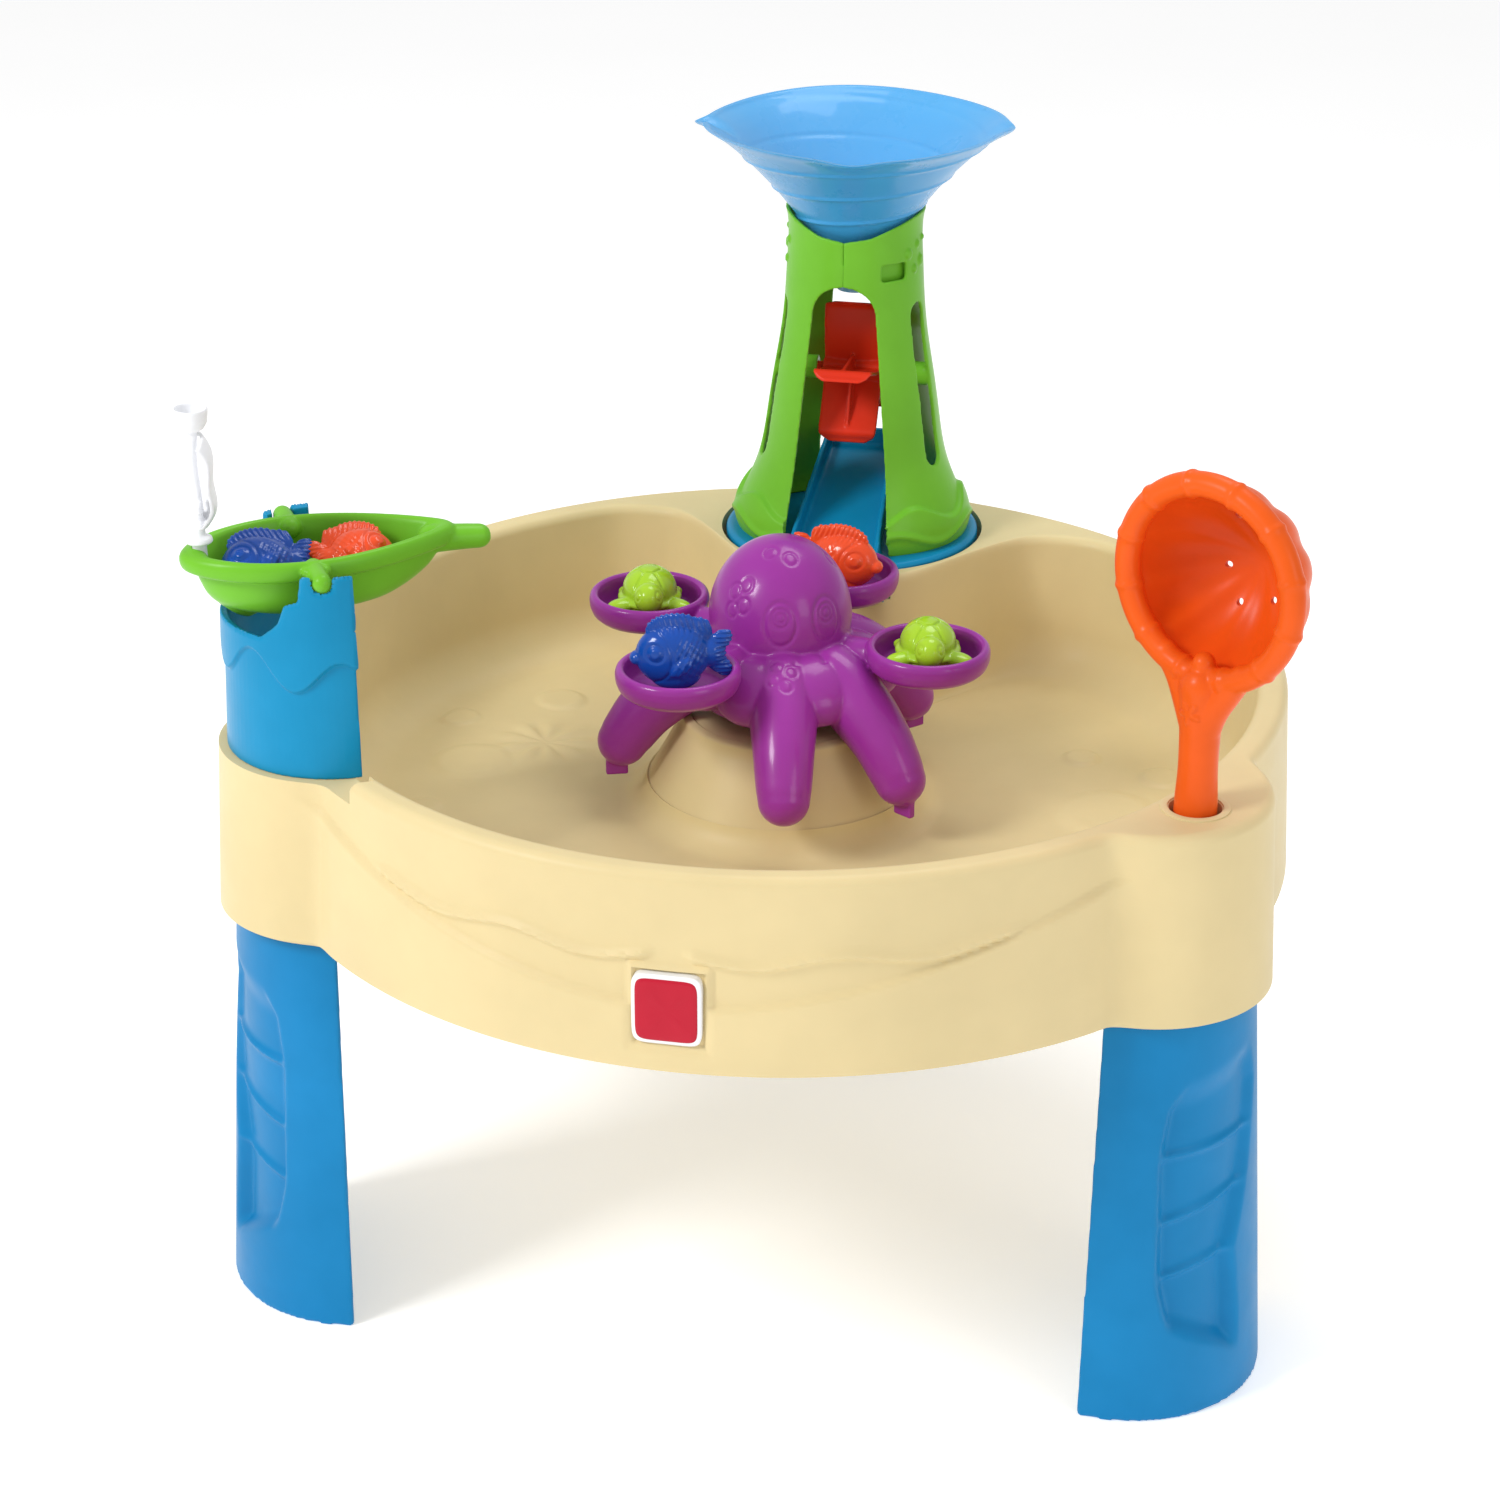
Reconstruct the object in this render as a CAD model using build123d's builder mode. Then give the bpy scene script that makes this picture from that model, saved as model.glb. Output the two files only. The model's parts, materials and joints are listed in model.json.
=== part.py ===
from build123d import *
from math import cos, radians, sin, tan
import os

# Sand and water table, in millimetres, +Z up. The floor is z = 0. +Y is the tower's side, -Y the front.
# The basin's axis stands at x = 0, y = basin_y, so that the origin is under the middle of the footprint.

# ---- basin
rim_height = 487.0
rim_radius = 400.0
bowl_radius = 377.0
skirt_bottom = 335.0
skirt_flare = 8.0
wall = 5.0
floor_height = 365.0
bowl_taper = 4.0
rim_round = 7.0
back_deck_reach = 312.0
pod_reach = 360.0
pod_radius = 92.0
pod_flare = 5.0
pod_azimuths = {"front_left": -150.0, "front_right": -30.0, "back": 90.0}
pedestal_height = 78.0
pedestal_top_radius = 80.0
pedestal_foot_radius = 112.0
drain_reach = 300.0
drain_radius = 11.0
plug_flange = 5.0
plug_cap = 3.0

badge_height = skirt_bottom + 51.0
badge_width = 46.0
badge_tall = 50.0
badge_stand = 9.0

# ---- legs
leg_foot_radius = 108.0
leg_top_radius = 86.0
leg_top_height = skirt_bottom + 17.0
leg_wall = 5.0
leg_half_angle = 72.0
foot_lip = 12.0
recess_half_angle = 32.0
recess_bottom = 60.0
recess_top = 292.0
recess_depth = 8.0
rib_heights = (118.0, 172.0, 226.0)
rib_size = 5.0
leg_bolt_reach = 36.0
leg_bolt_spread = 55.0
lug_depth = 34.0

# ---- screws
screw_radius = 2.5
screw_head_radius = 5.0
screw_head_height = 3.0
screw_length = 22.0
screw_clearance = 0.3
post_radius = 7.5
base_bolt_reach = 86.0
base_bolt_spread = 42.0
mount_bolt_reach = 48.0
mount_bolt_spread = 22.0
lug_thickness = 6.0

# ---- fits
running = 0.08
slip = 0.4
seat_gap = 4.0

# ---- tower, its base, its wheel and the funnel
tower_reach = 306.0
ring_radius = 110.0
ring_top = rim_height + 3.0
pocket_depth = 20.0
nose_half_width = 51.0
nose_reach = 186.0
boss_skirt = 9.0
chute_back_height = rim_height + 58.0
chute_lip_height = rim_height - 13.0
chute_half_width = 27.0
chute_wall = 4.0
chute_back = 46.0
chute_lip = 8.0
chute_mouth_half_width = 38.0
tower_top = rim_height + 288.0
tower_wall = 3.5
tower_rises = (38.0, 63.0, 113.0, 163.0, 213.0, 258.0)
tower_heights = (ring_top, *(rim_height + rise for rise in tower_rises), tower_top)
tower_radii = (96.0, 93.0, 83.0, 73.5, 65.5, 59.5, 57.0, 59.5)
tower_foot_depth_share = 0.87
arch_top = rim_height + 231.0
arch_half_width = 27.0
arch_foot_half_width = 46.0
wheel_height = rim_height + 143.0
wheel_radius = 65.0
wheel_width = 50.0
paddle_count = 5
axle_radius = 5.0
bearing_radius = 10.0
bearing_gap = 6.0
bearing_end = 66.0
axle_half = 52.0
paddle_wall = 3.0
paddle_lip = 9.0
window_azimuth = -17.0
window_half_width = 10.0
window_bottom = rim_height + 69.0
window_top = rim_height + 211.0
slot_azimuth = -44.0
slot_height = rim_height + 242.0
slot_width = 24.0
slot_tall = 14.0
shell_bolt_reach = 86.0
foot_boss_height = 26.0
seam_boss_reach = 46.0
seam_boss_height = rim_height + 251.0
seam_boss_length = 9.0
funnel_rim_height = rim_height + 358.0
funnel_rim_radius = 122.0
funnel_wall = 2.5
funnel_lip_reach = 14.0
lip_inset = 20.0
spout_radius = 15.0
spout_height = wheel_height + wheel_radius + 7.0

# ---- octopus spinner
post_height = 34.0
spindle_radius = 9.0
spindle_flange_radius = 24.0
head_height = floor_height + 223.0
head_radius = 57.0
head_tall = 65.0
body_bottom = floor_height + 85.0
body_radius = 64.0
bush_radius = 15.0
tray_reach = 124.0
tray_azimuths = (-119.0, -12.0, 79.0, 162.0)
tray_radius = 48.0
tray_floor = floor_height + 135.0
tray_rim = floor_height + 154.0
tray_wall = 5.0
arm_radius = 13.0
tentacle_azimuths = (-78.0, -33.0, 47.0, 199.0)
tentacle_reach = 132.0
tentacle_tip_height = floor_height + 39.0
tentacle_radius = 19.0
tentacle_knee = 88.0
tentacle_bend = 34.0

# ---- boat and its tower
mount_top_radius = 80.0
mount_foot_radius = 86.0
mount_foot_height = rim_height - 17.0
trunnion_height = rim_height + 138.0
mount_crest = trunnion_height + 4.0
mount_dip = mount_crest - 51.0
crest_end = 34.0
crest_shoulder = 12.0
crest_drop = 19.0
dip_start = 62.0
mount_wall = 3.5
mount_plug_gap = 1.5
trunnion_reach = 381.0
trunnion_radius = 8.0
trunnion_half_span = 82.0
boat_rim_height = trunnion_height + 6.0
boat_keel_height = boat_rim_height - 52.0
boat_half_beam = 54.0
boat_stern = 92.0
boat_bow = 119.0
boat_wall = 3.0
stern_rise = 8.0
fin_depth = 6.0
stern_block_depth = 14.0
stern_block_length = 24.0
stern_block_width = 40.0
boat_flare = 22.0
gunwale = 8.0
bow_spout_length = 27.0
bow_spout_radius = 9.5
bow_spout_bore = 5.0
bow_half_width = 6.0
mast_inset = 76.0
mast_height = boat_rim_height + 113.0
mast_radius = 6.0
sail_foot = boat_rim_height + 21.0
sail_tall = 74.0
sail_width = 68.0
sail_radius = 50.0
sail_wall = 3.0
lookout_radius = 13.0
lookout_tall = 18.0
lookout_wall = 2.0
cleat_wall = 3.0
cleat_height = 5.0

# ---- scoop
scoop_reach = 408.0
scoop_azimuth = -31.5
handle_radius = 16.0
socket_depth = 95.0
socket_gap = 3.0
socket_wall = 4.0
handle_wall = 3.5
handle_hollow = 180.0
hoop_height = rim_height + 174.0
hoop_radius = 72.0
hoop_tube = 9.5
hoop_facing = -116.0
bag_depth = 68.0
bag_wall = 3.0

# ---- toys
fish_length = 78.0
fish_height = 70.0
low_fish_height = 64.0
short_fish_length = 64.0
fish_thickness = 36.0
turtle_length = 70.0
turtle_width = 58.0
turtle_height = 40.0
toy_base = 4.0
toy_gap = 0.3
boat_toy_stern = -30.0
boat_toy_bow = 41.0
boat_toy_rise = 4.0

basin_y = (rim_radius + skirt_flare - pod_reach - leg_foot_radius) / 2
ground = Plane((0, basin_y, 0))
os.makedirs("parts", exist_ok=True)


def station(reach, azimuth, height=0.0):
    """Level plane at a polar place round the basin's axis, its x pointing outwards."""
    out = Vector(cos(radians(azimuth)), sin(radians(azimuth)), 0)
    return Plane(Vector(0, basin_y, height) + out * reach, x_dir=out, z_dir=(0, 0, 1))


def upright(plane, turn=0.0):
    """Upright plane through a level plane's origin: x along its turned x, y straight up."""
    out = plane.x_dir.rotate(Axis.Z, turn)
    return Plane(plane.origin, x_dir=out, z_dir=out.cross(Vector(0, 0, 1)))


def save(piece, name):
    """Label one finished piece and write it under the same name."""
    piece.part.label = name
    export_step(piece.part, f"parts/{name}.step")


def spots(plane, points):
    """Points of a level plane, as plan positions in the row frame."""
    return [tuple(plane.from_local_coords((x, y)))[:2] for x, y in points]


def screws(name, seat, places, upwards=True, length=screw_length):
    """Pan-head screws in one node: heads against the seat plane, shanks past it."""
    way = 1 if upwards else -1
    with BuildPart() as group:
        with BuildSketch(seat):
            with Locations(*places):
                Circle(screw_radius)
        extrude(amount=way * length)
        with BuildSketch(seat):
            with Locations(*places):
                Circle(screw_head_radius)
        extrude(amount=-way * screw_head_height)
    save(group, name)


tower_centre = station(tower_reach, 90)
tower_centre = Plane(tower_centre.origin, x_dir=(1, 0, 0), z_dir=(0, 0, 1))
skirt_height = rim_height - skirt_bottom
leg_bolts = [(leg_bolt_reach, side * leg_bolt_spread) for side in (-1, 1)]
pods = {name: station(pod_reach, azimuth) for name, azimuth in pod_azimuths.items()}
mount_pod = pods["front_left"]
bowl_depth = rim_height - floor_height
pocket_bottom = rim_height - pocket_depth
mount_plug_radius = mount_foot_radius - mount_wall - mount_plug_gap
level = Align.CENTER, Align.CENTER, Align.MIN
funnel_seat = tower_radii[-1] - tower_wall - slip
base_bolts = [(x * base_bolt_reach, y * base_bolt_spread) for x in (-1, 1) for y in (-1, 1)]
mount_bolts = [(mount_bolt_reach, side * mount_bolt_spread) for side in (-1, 1)]


# ------------------------------------------------------------------ basin
def bowl_room(skin):
    """The room inside the bowl, grown by the wall's thickness on every side but the top."""
    with BuildPart() as room:
        with BuildSketch(ground.offset(rim_height)):
            Circle(bowl_radius + skin)
            with Locations((0, back_deck_reach + skin)):
                Rectangle(4 * rim_radius, rim_radius, align=(Align.CENTER, Align.MIN), mode=Mode.SUBTRACT)
            with Locations((0, tower_reach)):
                Circle(ring_radius + seat_gap + boss_skirt - skin, mode=Mode.SUBTRACT)
                half = nose_half_width + seat_gap + boss_skirt - skin
                front = tower_reach - nose_reach - skin
                Rectangle(2 * half, front, align=(Align.CENTER, Align.MAX), mode=Mode.SUBTRACT)
        extrude(amount=bowl_depth + skin, dir=(0, 0, -1), taper=bowl_taper)
        with Locations((0, basin_y, floor_height - skin)):
            Cone(
                pedestal_foot_radius - skin,
                pedestal_top_radius - skin,
                pedestal_height,
                align=(Align.CENTER, Align.CENTER, Align.MIN),
                mode=Mode.SUBTRACT,
            )
    return room.part


with BuildPart() as under_room:
    under_height = rim_height - wall - skirt_bottom
    with Locations((0, basin_y, skirt_bottom)):
        Cone(rim_radius + skirt_flare - wall, rim_radius - wall, under_height, align=level)
    with Locations(*[Location(pod.offset(skirt_bottom)) for pod in pods.values()]):
        Cone(pod_radius + pod_flare - wall, pod_radius - wall, under_height, align=level)
    add(bowl_room(wall), mode=Mode.SUBTRACT)
    with BuildSketch(tower_centre.offset(pocket_bottom - wall)):
        Circle(ring_radius + seat_gap + wall)
        Rectangle(2 * (nose_half_width + seat_gap + wall), 2 * tower_reach, align=(Align.CENTER, Align.MAX))
    extrude(amount=2 * pocket_depth, mode=Mode.SUBTRACT)
    with BuildSketch(mount_pod.offset(mount_foot_height - wall)):
        Circle(pod_radius + pod_flare + wall)
        Circle(mount_plug_radius - wall, mode=Mode.SUBTRACT)
    extrude(amount=2 * pocket_depth, mode=Mode.SUBTRACT)
    with BuildSketch(station(scoop_reach, scoop_azimuth, rim_height)):
        Circle(handle_radius + socket_gap + socket_wall)
    extrude(amount=-(socket_depth + socket_wall), mode=Mode.SUBTRACT)
    for pod in pods.values():
        with BuildSketch(pod.offset(leg_top_height)):
            with Locations(*leg_bolts):
                Circle(post_radius)
        extrude(amount=skirt_height, mode=Mode.SUBTRACT)

with BuildPart() as basin:
    with Locations((0, basin_y, skirt_bottom)):
        Cone(rim_radius + skirt_flare, rim_radius, skirt_height, align=level)
    with Locations(*[Location(pod.offset(skirt_bottom)) for pod in pods.values()]):
        Cone(pod_radius + pod_flare, pod_radius, skirt_height, align=level)
    fillet(basin.faces().sort_by(Axis.Z)[-1].outer_wire().edges(), radius=rim_round)
    add(under_room.part, mode=Mode.SUBTRACT)
    add(bowl_room(0), mode=Mode.SUBTRACT)
    # pocket for the tower's base, open towards the bowl at the nose
    with BuildSketch(tower_centre.offset(pocket_bottom)):
        Circle(ring_radius + seat_gap)
        pocket_run = tower_reach - nose_reach + wall
        Rectangle(2 * (nose_half_width + seat_gap), pocket_run, align=(Align.CENTER, Align.MAX))
    extrude(amount=2 * pocket_depth, mode=Mode.SUBTRACT)
    # ledge round the outside of the front left pod, for the boat's tower
    with BuildSketch(mount_pod.offset(mount_foot_height)):
        Circle(pod_radius + pod_flare)
        Circle(mount_plug_radius, mode=Mode.SUBTRACT)
        with Locations((-slip, 0)):
            Rectangle(4 * pod_radius, 4 * pod_radius, align=(Align.MAX, Align.CENTER), mode=Mode.SUBTRACT)
    extrude(amount=2 * pocket_depth, mode=Mode.SUBTRACT)
    # scoop's socket, a drain hole and the pedestal's screw hole
    with BuildSketch(station(scoop_reach, scoop_azimuth, rim_height)):
        Circle(handle_radius + socket_gap)
    extrude(amount=-socket_depth, mode=Mode.SUBTRACT)
    with BuildSketch(station(drain_reach, -90, floor_height - 2 * wall)):
        Circle(drain_radius)
    extrude(amount=3 * wall, mode=Mode.SUBTRACT)
    with BuildSketch(ground.offset(floor_height)):
        Circle(screw_radius + screw_clearance)
    extrude(amount=2 * pedestal_height, mode=Mode.SUBTRACT)
    # pilot holes in the leg posts
    for pod in pods.values():
        with BuildSketch(pod.offset(leg_top_height)):
            with Locations(*leg_bolts):
                Circle(screw_radius + screw_clearance)
        extrude(amount=screw_length, mode=Mode.SUBTRACT)
    # holes for the screws of the tower's base and of the boat's tower
    for seat, places in ((tower_centre, base_bolts), (mount_pod, mount_bolts)):
        with BuildSketch(seat.offset(pocket_bottom - 2 * wall)):
            with Locations(*places):
                Circle(screw_radius + screw_clearance)
        extrude(amount=2 * pocket_depth, mode=Mode.SUBTRACT)
save(basin, "basin")

with BuildPart() as drain_plug:
    with BuildSketch(station(drain_reach, -90, floor_height)):
        Circle(drain_radius + plug_flange)
    extrude(amount=plug_cap)
    with BuildSketch(station(drain_reach, -90, floor_height)):
        Circle(drain_radius - slip)
    extrude(amount=-(wall + 4))
save(drain_plug, "drain_plug")

# the badge: a domed plaque on the front of the skirt
with BuildPart() as badge:
    front = Plane((0, basin_y - rim_radius - badge_stand, badge_height), x_dir=(1, 0, 0), z_dir=(0, -1, 0))
    with BuildSketch(front):
        Ellipse(badge_width / 2, badge_tall / 2)
    extrude(amount=-(badge_stand + 2 * wall))
    with Locations((0, basin_y, skirt_bottom)):
        Cone(rim_radius + skirt_flare, rim_radius, skirt_height, align=level, mode=Mode.SUBTRACT)
save(badge, "badge")


# ------------------------------------------------------------------ legs
def sector(plane, half_angle, low, high):
    """Wedge about a level plane's outward direction, between two heights."""
    reach = 2 * leg_foot_radius
    side = reach * tan(radians(half_angle))
    with BuildPart() as wedge:
        with BuildSketch(plane.offset(low)):
            Polygon((0, 0), (reach, -side), (reach, side), align=None)
        extrude(amount=high - low)
    return wedge.part


def leg_skin(pod, outer_inset, inner_inset):
    """Conical shell between two depths under the leg's outer face."""
    with BuildPart() as skin:
        with Locations(Location(pod)):
            Cone(
                leg_foot_radius - outer_inset, leg_top_radius - outer_inset, leg_top_height, align=level
            )
            Cone(
                leg_foot_radius - inner_inset,
                leg_top_radius - inner_inset,
                leg_top_height,
                align=level,
                mode=Mode.SUBTRACT,
            )
    return skin.part


for name, pod in pods.items():
    with BuildPart() as leg:
        add(leg_skin(pod, 0, leg_wall))
        with BuildSketch(pod):
            Circle(leg_foot_radius - leg_wall / 2)
            Circle(leg_foot_radius - foot_lip, mode=Mode.SUBTRACT)
        extrude(amount=leg_wall)
        with BuildSketch(pod.offset(leg_top_height - lug_thickness)):
            Circle(leg_top_radius - leg_wall / 2)
            Circle(leg_top_radius - lug_depth, mode=Mode.SUBTRACT)
        extrude(amount=lug_thickness)
        # scooped panel in the outer face, with its cross ribs
        add(leg_skin(pod, leg_wall / 2, recess_depth + leg_wall) & sector(
            pod, recess_half_angle + 4, recess_bottom - leg_wall, recess_top + leg_wall
        ))
        add(
            leg_skin(pod, -1, recess_depth) & sector(pod, recess_half_angle, recess_bottom, recess_top),
            mode=Mode.SUBTRACT,
        )
        for rib_height in rib_heights:
            add(leg_skin(pod, recess_depth - rib_size, recess_depth + 1) & sector(
                pod, recess_half_angle + 1, rib_height - rib_size / 2, rib_height + rib_size / 2
            ))
        add(sector(pod, leg_half_angle, 0, leg_top_height), mode=Mode.INTERSECT)
        add(
            sector(pod, recess_half_angle + 6, leg_top_height - lug_thickness, leg_top_height)
            & leg_skin(pod, leg_wall, leg_top_radius - 1),
            mode=Mode.SUBTRACT,
        )
        with BuildSketch(pod.offset(leg_top_height - lug_thickness)):
            with Locations(*leg_bolts):
                Circle(screw_radius + screw_clearance)
        extrude(amount=lug_thickness, mode=Mode.SUBTRACT)
    save(leg, f"leg_{name}")

leg_screw_places = [place for pod in pods.values() for place in spots(pod, leg_bolts)]
screws("leg_screws", Plane.XY.offset(leg_top_height - lug_thickness), leg_screw_places)


# ------------------------------------------------------------------ tower
face_view = Plane(tower_centre.origin, x_dir=(1, 0, 0), z_dir=(0, -1, 0))
side_view = Plane(tower_centre.origin, x_dir=(0, 1, 0), z_dir=(1, 0, 0))
nose_front = nose_reach - tower_reach


def chute_room(skin):
    """The trough that carries water from under the wheel over the nose, grown by a skin."""
    fall = (chute_back_height - chute_lip_height) / (chute_back - nose_front)
    with BuildPart() as trough:
        with BuildSketch(tower_centre.offset(pocket_bottom)):
            mouth = chute_mouth_half_width + skin
            back = chute_half_width + skin
            Polygon(
                (-mouth, nose_front - chute_lip - wall),
                (mouth, nose_front - chute_lip - wall),
                (back, chute_back + skin),
                (-back, chute_back + skin),
                align=None,
            )
        extrude(amount=tower_top - pocket_bottom)
        with BuildSketch(side_view):
            low = nose_front - chute_lip - wall
            low_height = chute_lip_height - fall * (chute_lip + wall) - skin
            back_height = chute_back_height - skin + fall * skin
            rise = 5 * wall if skin == 0 else 3 * wall
            Polygon(
                (low, low_height),
                (chute_back + skin, back_height),
                (chute_back + skin, back_height + rise + skin),
                (low, low_height + rise + skin),
                align=None,
            )
        extrude(amount=2 * ring_radius, both=True, mode=Mode.INTERSECT)
    return trough.part


with BuildPart() as tower_base:
    with BuildSketch(tower_centre.offset(pocket_bottom)):
        Circle(ring_radius)
        Rectangle(2 * nose_half_width, -nose_front + chute_lip, align=(Align.CENTER, Align.MAX))
    extrude(amount=ring_top - pocket_bottom)
    rim_edges = tower_base.faces().sort_by(Axis.Z)[-1].outer_wire().edges()
    chamfer(rim_edges, length=3)
    with BuildSketch(tower_centre.offset(pocket_bottom)):
        Circle(ring_radius - chute_wall)
        nose_room = nose_half_width - chute_wall
        Rectangle(2 * nose_room, -nose_front - chute_wall, align=(Align.CENTER, Align.MAX))
        with Locations(*base_bolts):
            Circle(post_radius, mode=Mode.SUBTRACT)
    extrude(amount=ring_top - pocket_bottom - chute_wall, mode=Mode.SUBTRACT)
    add(chute_room(chute_wall))
    with BuildSketch(tower_centre.offset(ring_top - chute_wall)):
        with Locations((0, chute_back + chute_wall / 2)):
            Rectangle(2 * chute_half_width, chute_wall)
    extrude(amount=chute_back_height - ring_top)
    add(chute_room(0), mode=Mode.SUBTRACT)
    with BuildSketch(tower_centre.offset(pocket_bottom)):
        with Locations(*base_bolts):
            Circle(screw_radius)
    extrude(amount=screw_length - 2 * wall + 2, mode=Mode.SUBTRACT)
    with BuildSketch(tower_centre.offset(ring_top - chute_wall)):
        with Locations(*[(x, 0) for x in (-shell_bolt_reach, shell_bolt_reach)]):
            Circle(screw_radius + screw_clearance)
    extrude(amount=chute_wall, mode=Mode.SUBTRACT)
save(tower_base, "tower_base")
screws(
    "tower_base_screws",
    tower_centre.offset(pocket_bottom - wall),
    base_bolts,
    length=screw_length - 2 * wall,
)
screws(
    "tower_foot_screws",
    tower_centre.offset(ring_top - chute_wall),
    [(-shell_bolt_reach, 0), (shell_bolt_reach, 0)],
    length=screw_length,
)


def tower_skin(inset):
    """The tower's outer form drawn in by an inset: oval at the foot, round at the top."""
    with BuildPart() as form:
        for height, radius in zip(tower_heights, tower_radii):
            rise = (height - ring_top) / (tower_top - ring_top)
            share = tower_foot_depth_share + (1 - tower_foot_depth_share) * rise
            with BuildSketch(tower_centre.offset(height)):
                Ellipse(radius - inset, radius * share - inset)
        loft()
    return form.part


with BuildPart() as tower_shell:
    add(tower_skin(0))
    add(tower_skin(tower_wall), mode=Mode.SUBTRACT)
    # arches at the front and the back
    with BuildSketch(face_view) as arch:
        with BuildLine():
            foot = ring_top - wall
            spring = arch_top - arch_half_width
            Polyline(
                (arch_half_width, spring), (arch_foot_half_width, foot),
                (-arch_foot_half_width, foot), (-arch_half_width, spring),
            )
            ThreePointArc((-arch_half_width, spring), (0, arch_top), (arch_half_width, spring))
        make_face()
    extrude(amount=2 * ring_radius, both=True, mode=Mode.SUBTRACT)
    # tall windows in the sides and the small slot at the front right
    for azimuth in (window_azimuth, 180 - window_azimuth):
        with BuildSketch(upright(tower_centre, azimuth + 90)):
            with Locations((0, (window_bottom + window_top) / 2)):
                SlotOverall(window_top - window_bottom, 2 * window_half_width, rotation=90)
        extrude(amount=ring_radius, mode=Mode.SUBTRACT)
    with BuildSketch(upright(tower_centre, slot_azimuth + 90)):
        with Locations((0, slot_height)):
            Rectangle(slot_width, slot_tall)
    extrude(amount=ring_radius, mode=Mode.SUBTRACT)
    # bearing bosses for the wheel's axle
    bearing_start = wheel_width / 2 + bearing_gap
    for side in (-1, 1):
        with BuildSketch(side_view.offset(side * bearing_start)):
            with Locations((0, wheel_height)):
                Circle(bearing_radius)
        extrude(amount=side * (bearing_end - bearing_start))
        with BuildSketch(side_view.offset(side * bearing_start)):
            with Locations((0, wheel_height)):
                Circle(axle_radius + running)
        extrude(amount=side * (axle_half + slip - bearing_start), mode=Mode.SUBTRACT)
    # bosses at the feet and at the seam
    for side in (-1, 1):
        with BuildSketch(tower_centre.offset(ring_top)):
            with Locations((side * shell_bolt_reach, 0)):
                Circle(post_radius)
        extrude(amount=foot_boss_height)
        with BuildSketch(tower_centre.offset(ring_top)):
            with Locations((side * shell_bolt_reach, 0)):
                Circle(screw_radius)
        extrude(amount=screw_length, mode=Mode.SUBTRACT)
        with BuildSketch(side_view):
            with Locations((side * seam_boss_reach, seam_boss_height)):
                Circle(post_radius - 0.5)
        extrude(amount=seam_boss_length, both=True)
        with BuildSketch(side_view):
            with Locations((side * seam_boss_reach, seam_boss_height)):
                Circle(screw_radius)
        extrude(amount=seam_boss_length, both=True, mode=Mode.SUBTRACT)
    add(tower_skin(0), mode=Mode.INTERSECT)

for name, keep in (("tower_right", Keep.TOP), ("tower_left", Keep.BOTTOM)):
    with BuildPart() as tower_half:
        add(tower_shell.part)
        split(bisect_by=side_view, keep=keep)
    save(tower_half, name)

screws(
    "tower_seam_screws",
    side_view.offset(seam_boss_length),
    [(-seam_boss_reach, seam_boss_height), (seam_boss_reach, seam_boss_height)],
    upwards=False,
    length=2 * seam_boss_length - 2,
)

with BuildPart() as water_wheel:
    axle_line = Plane(side_view.origin + Vector(0, 0, wheel_height), x_dir=(0, 1, 0), z_dir=(1, 0, 0))
    with BuildSketch(axle_line):
        Circle(2 * axle_radius)
    extrude(amount=wheel_width / 2, both=True)
    with BuildSketch(axle_line):
        with PolarLocations(0, paddle_count, start_angle=20):
            with Locations((wheel_radius / 2, 0)):
                Rectangle(wheel_radius, paddle_wall)
            with Locations((wheel_radius - paddle_wall / 2, paddle_lip / 2)):
                Rectangle(paddle_wall, paddle_lip)
    extrude(amount=wheel_width / 2, both=True)
    with BuildSketch(axle_line):
        Circle(axle_radius)
    extrude(amount=axle_half, both=True)
save(water_wheel, "water_wheel")

with BuildPart() as funnel:
    outer = [
        (spout_radius, spout_height),
        (spout_radius, spout_height + 22),
        (40.0, tower_top - 23),
        (funnel_seat, tower_top),
        (88.0, funnel_rim_height - 33),
        (112.0, funnel_rim_height - 9),
        (funnel_rim_radius, funnel_rim_height),
    ]
    with BuildSketch(upright(tower_centre)):
        with BuildLine():
            inner = [(radius - 1.3 * funnel_wall, height) for radius, height in outer]
            Polyline(*outer, *reversed(inner), close=True)
        make_face()
    revolve(axis=Axis(tower_centre.origin, (0, 0, 1)))
    with BuildSketch(tower_centre.offset(funnel_rim_height - funnel_wall)):
        Circle(funnel_rim_radius)
        with Locations(*[(r * (funnel_rim_radius - lip_inset), q * (funnel_rim_radius - lip_inset))
                         for r, q in ((1, 0), (-1, 0), (0, -1))]):
            Circle(lip_inset + funnel_lip_reach)
        Circle(funnel_rim_radius - 2 * funnel_wall, mode=Mode.SUBTRACT)
    extrude(amount=funnel_wall)
save(funnel, "funnel")


# ------------------------------------------------------------------ octopus spinner
pedestal_top = floor_height + pedestal_height
with BuildPart() as spinner_spindle:
    with BuildSketch(ground.offset(pedestal_top)):
        Circle(spindle_flange_radius)
    extrude(amount=wall)
    with BuildSketch(ground.offset(pedestal_top)):
        Circle(spindle_radius)
    extrude(amount=post_height)
    with BuildSketch(ground.offset(pedestal_top)):
        Circle(screw_radius)
    extrude(amount=post_height / 2, mode=Mode.SUBTRACT)
save(spinner_spindle, "spinner_spindle")
screws("spindle_screw", ground.offset(pedestal_top - wall), [(0, 0)], length=post_height / 2)

bush_bottom = pedestal_top + wall + 1
bush_top = pedestal_top + post_height + slip
with BuildPart() as octopus_bush:
    with BuildSketch(ground.offset(bush_bottom)):
        Circle(bush_radius)
    extrude(amount=bush_top + wall - bush_bottom)
    with BuildSketch(ground.offset(bush_bottom)):
        Circle(spindle_radius + running)
    extrude(amount=bush_top - bush_bottom, mode=Mode.SUBTRACT)
save(octopus_bush, "octopus_bush")


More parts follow.
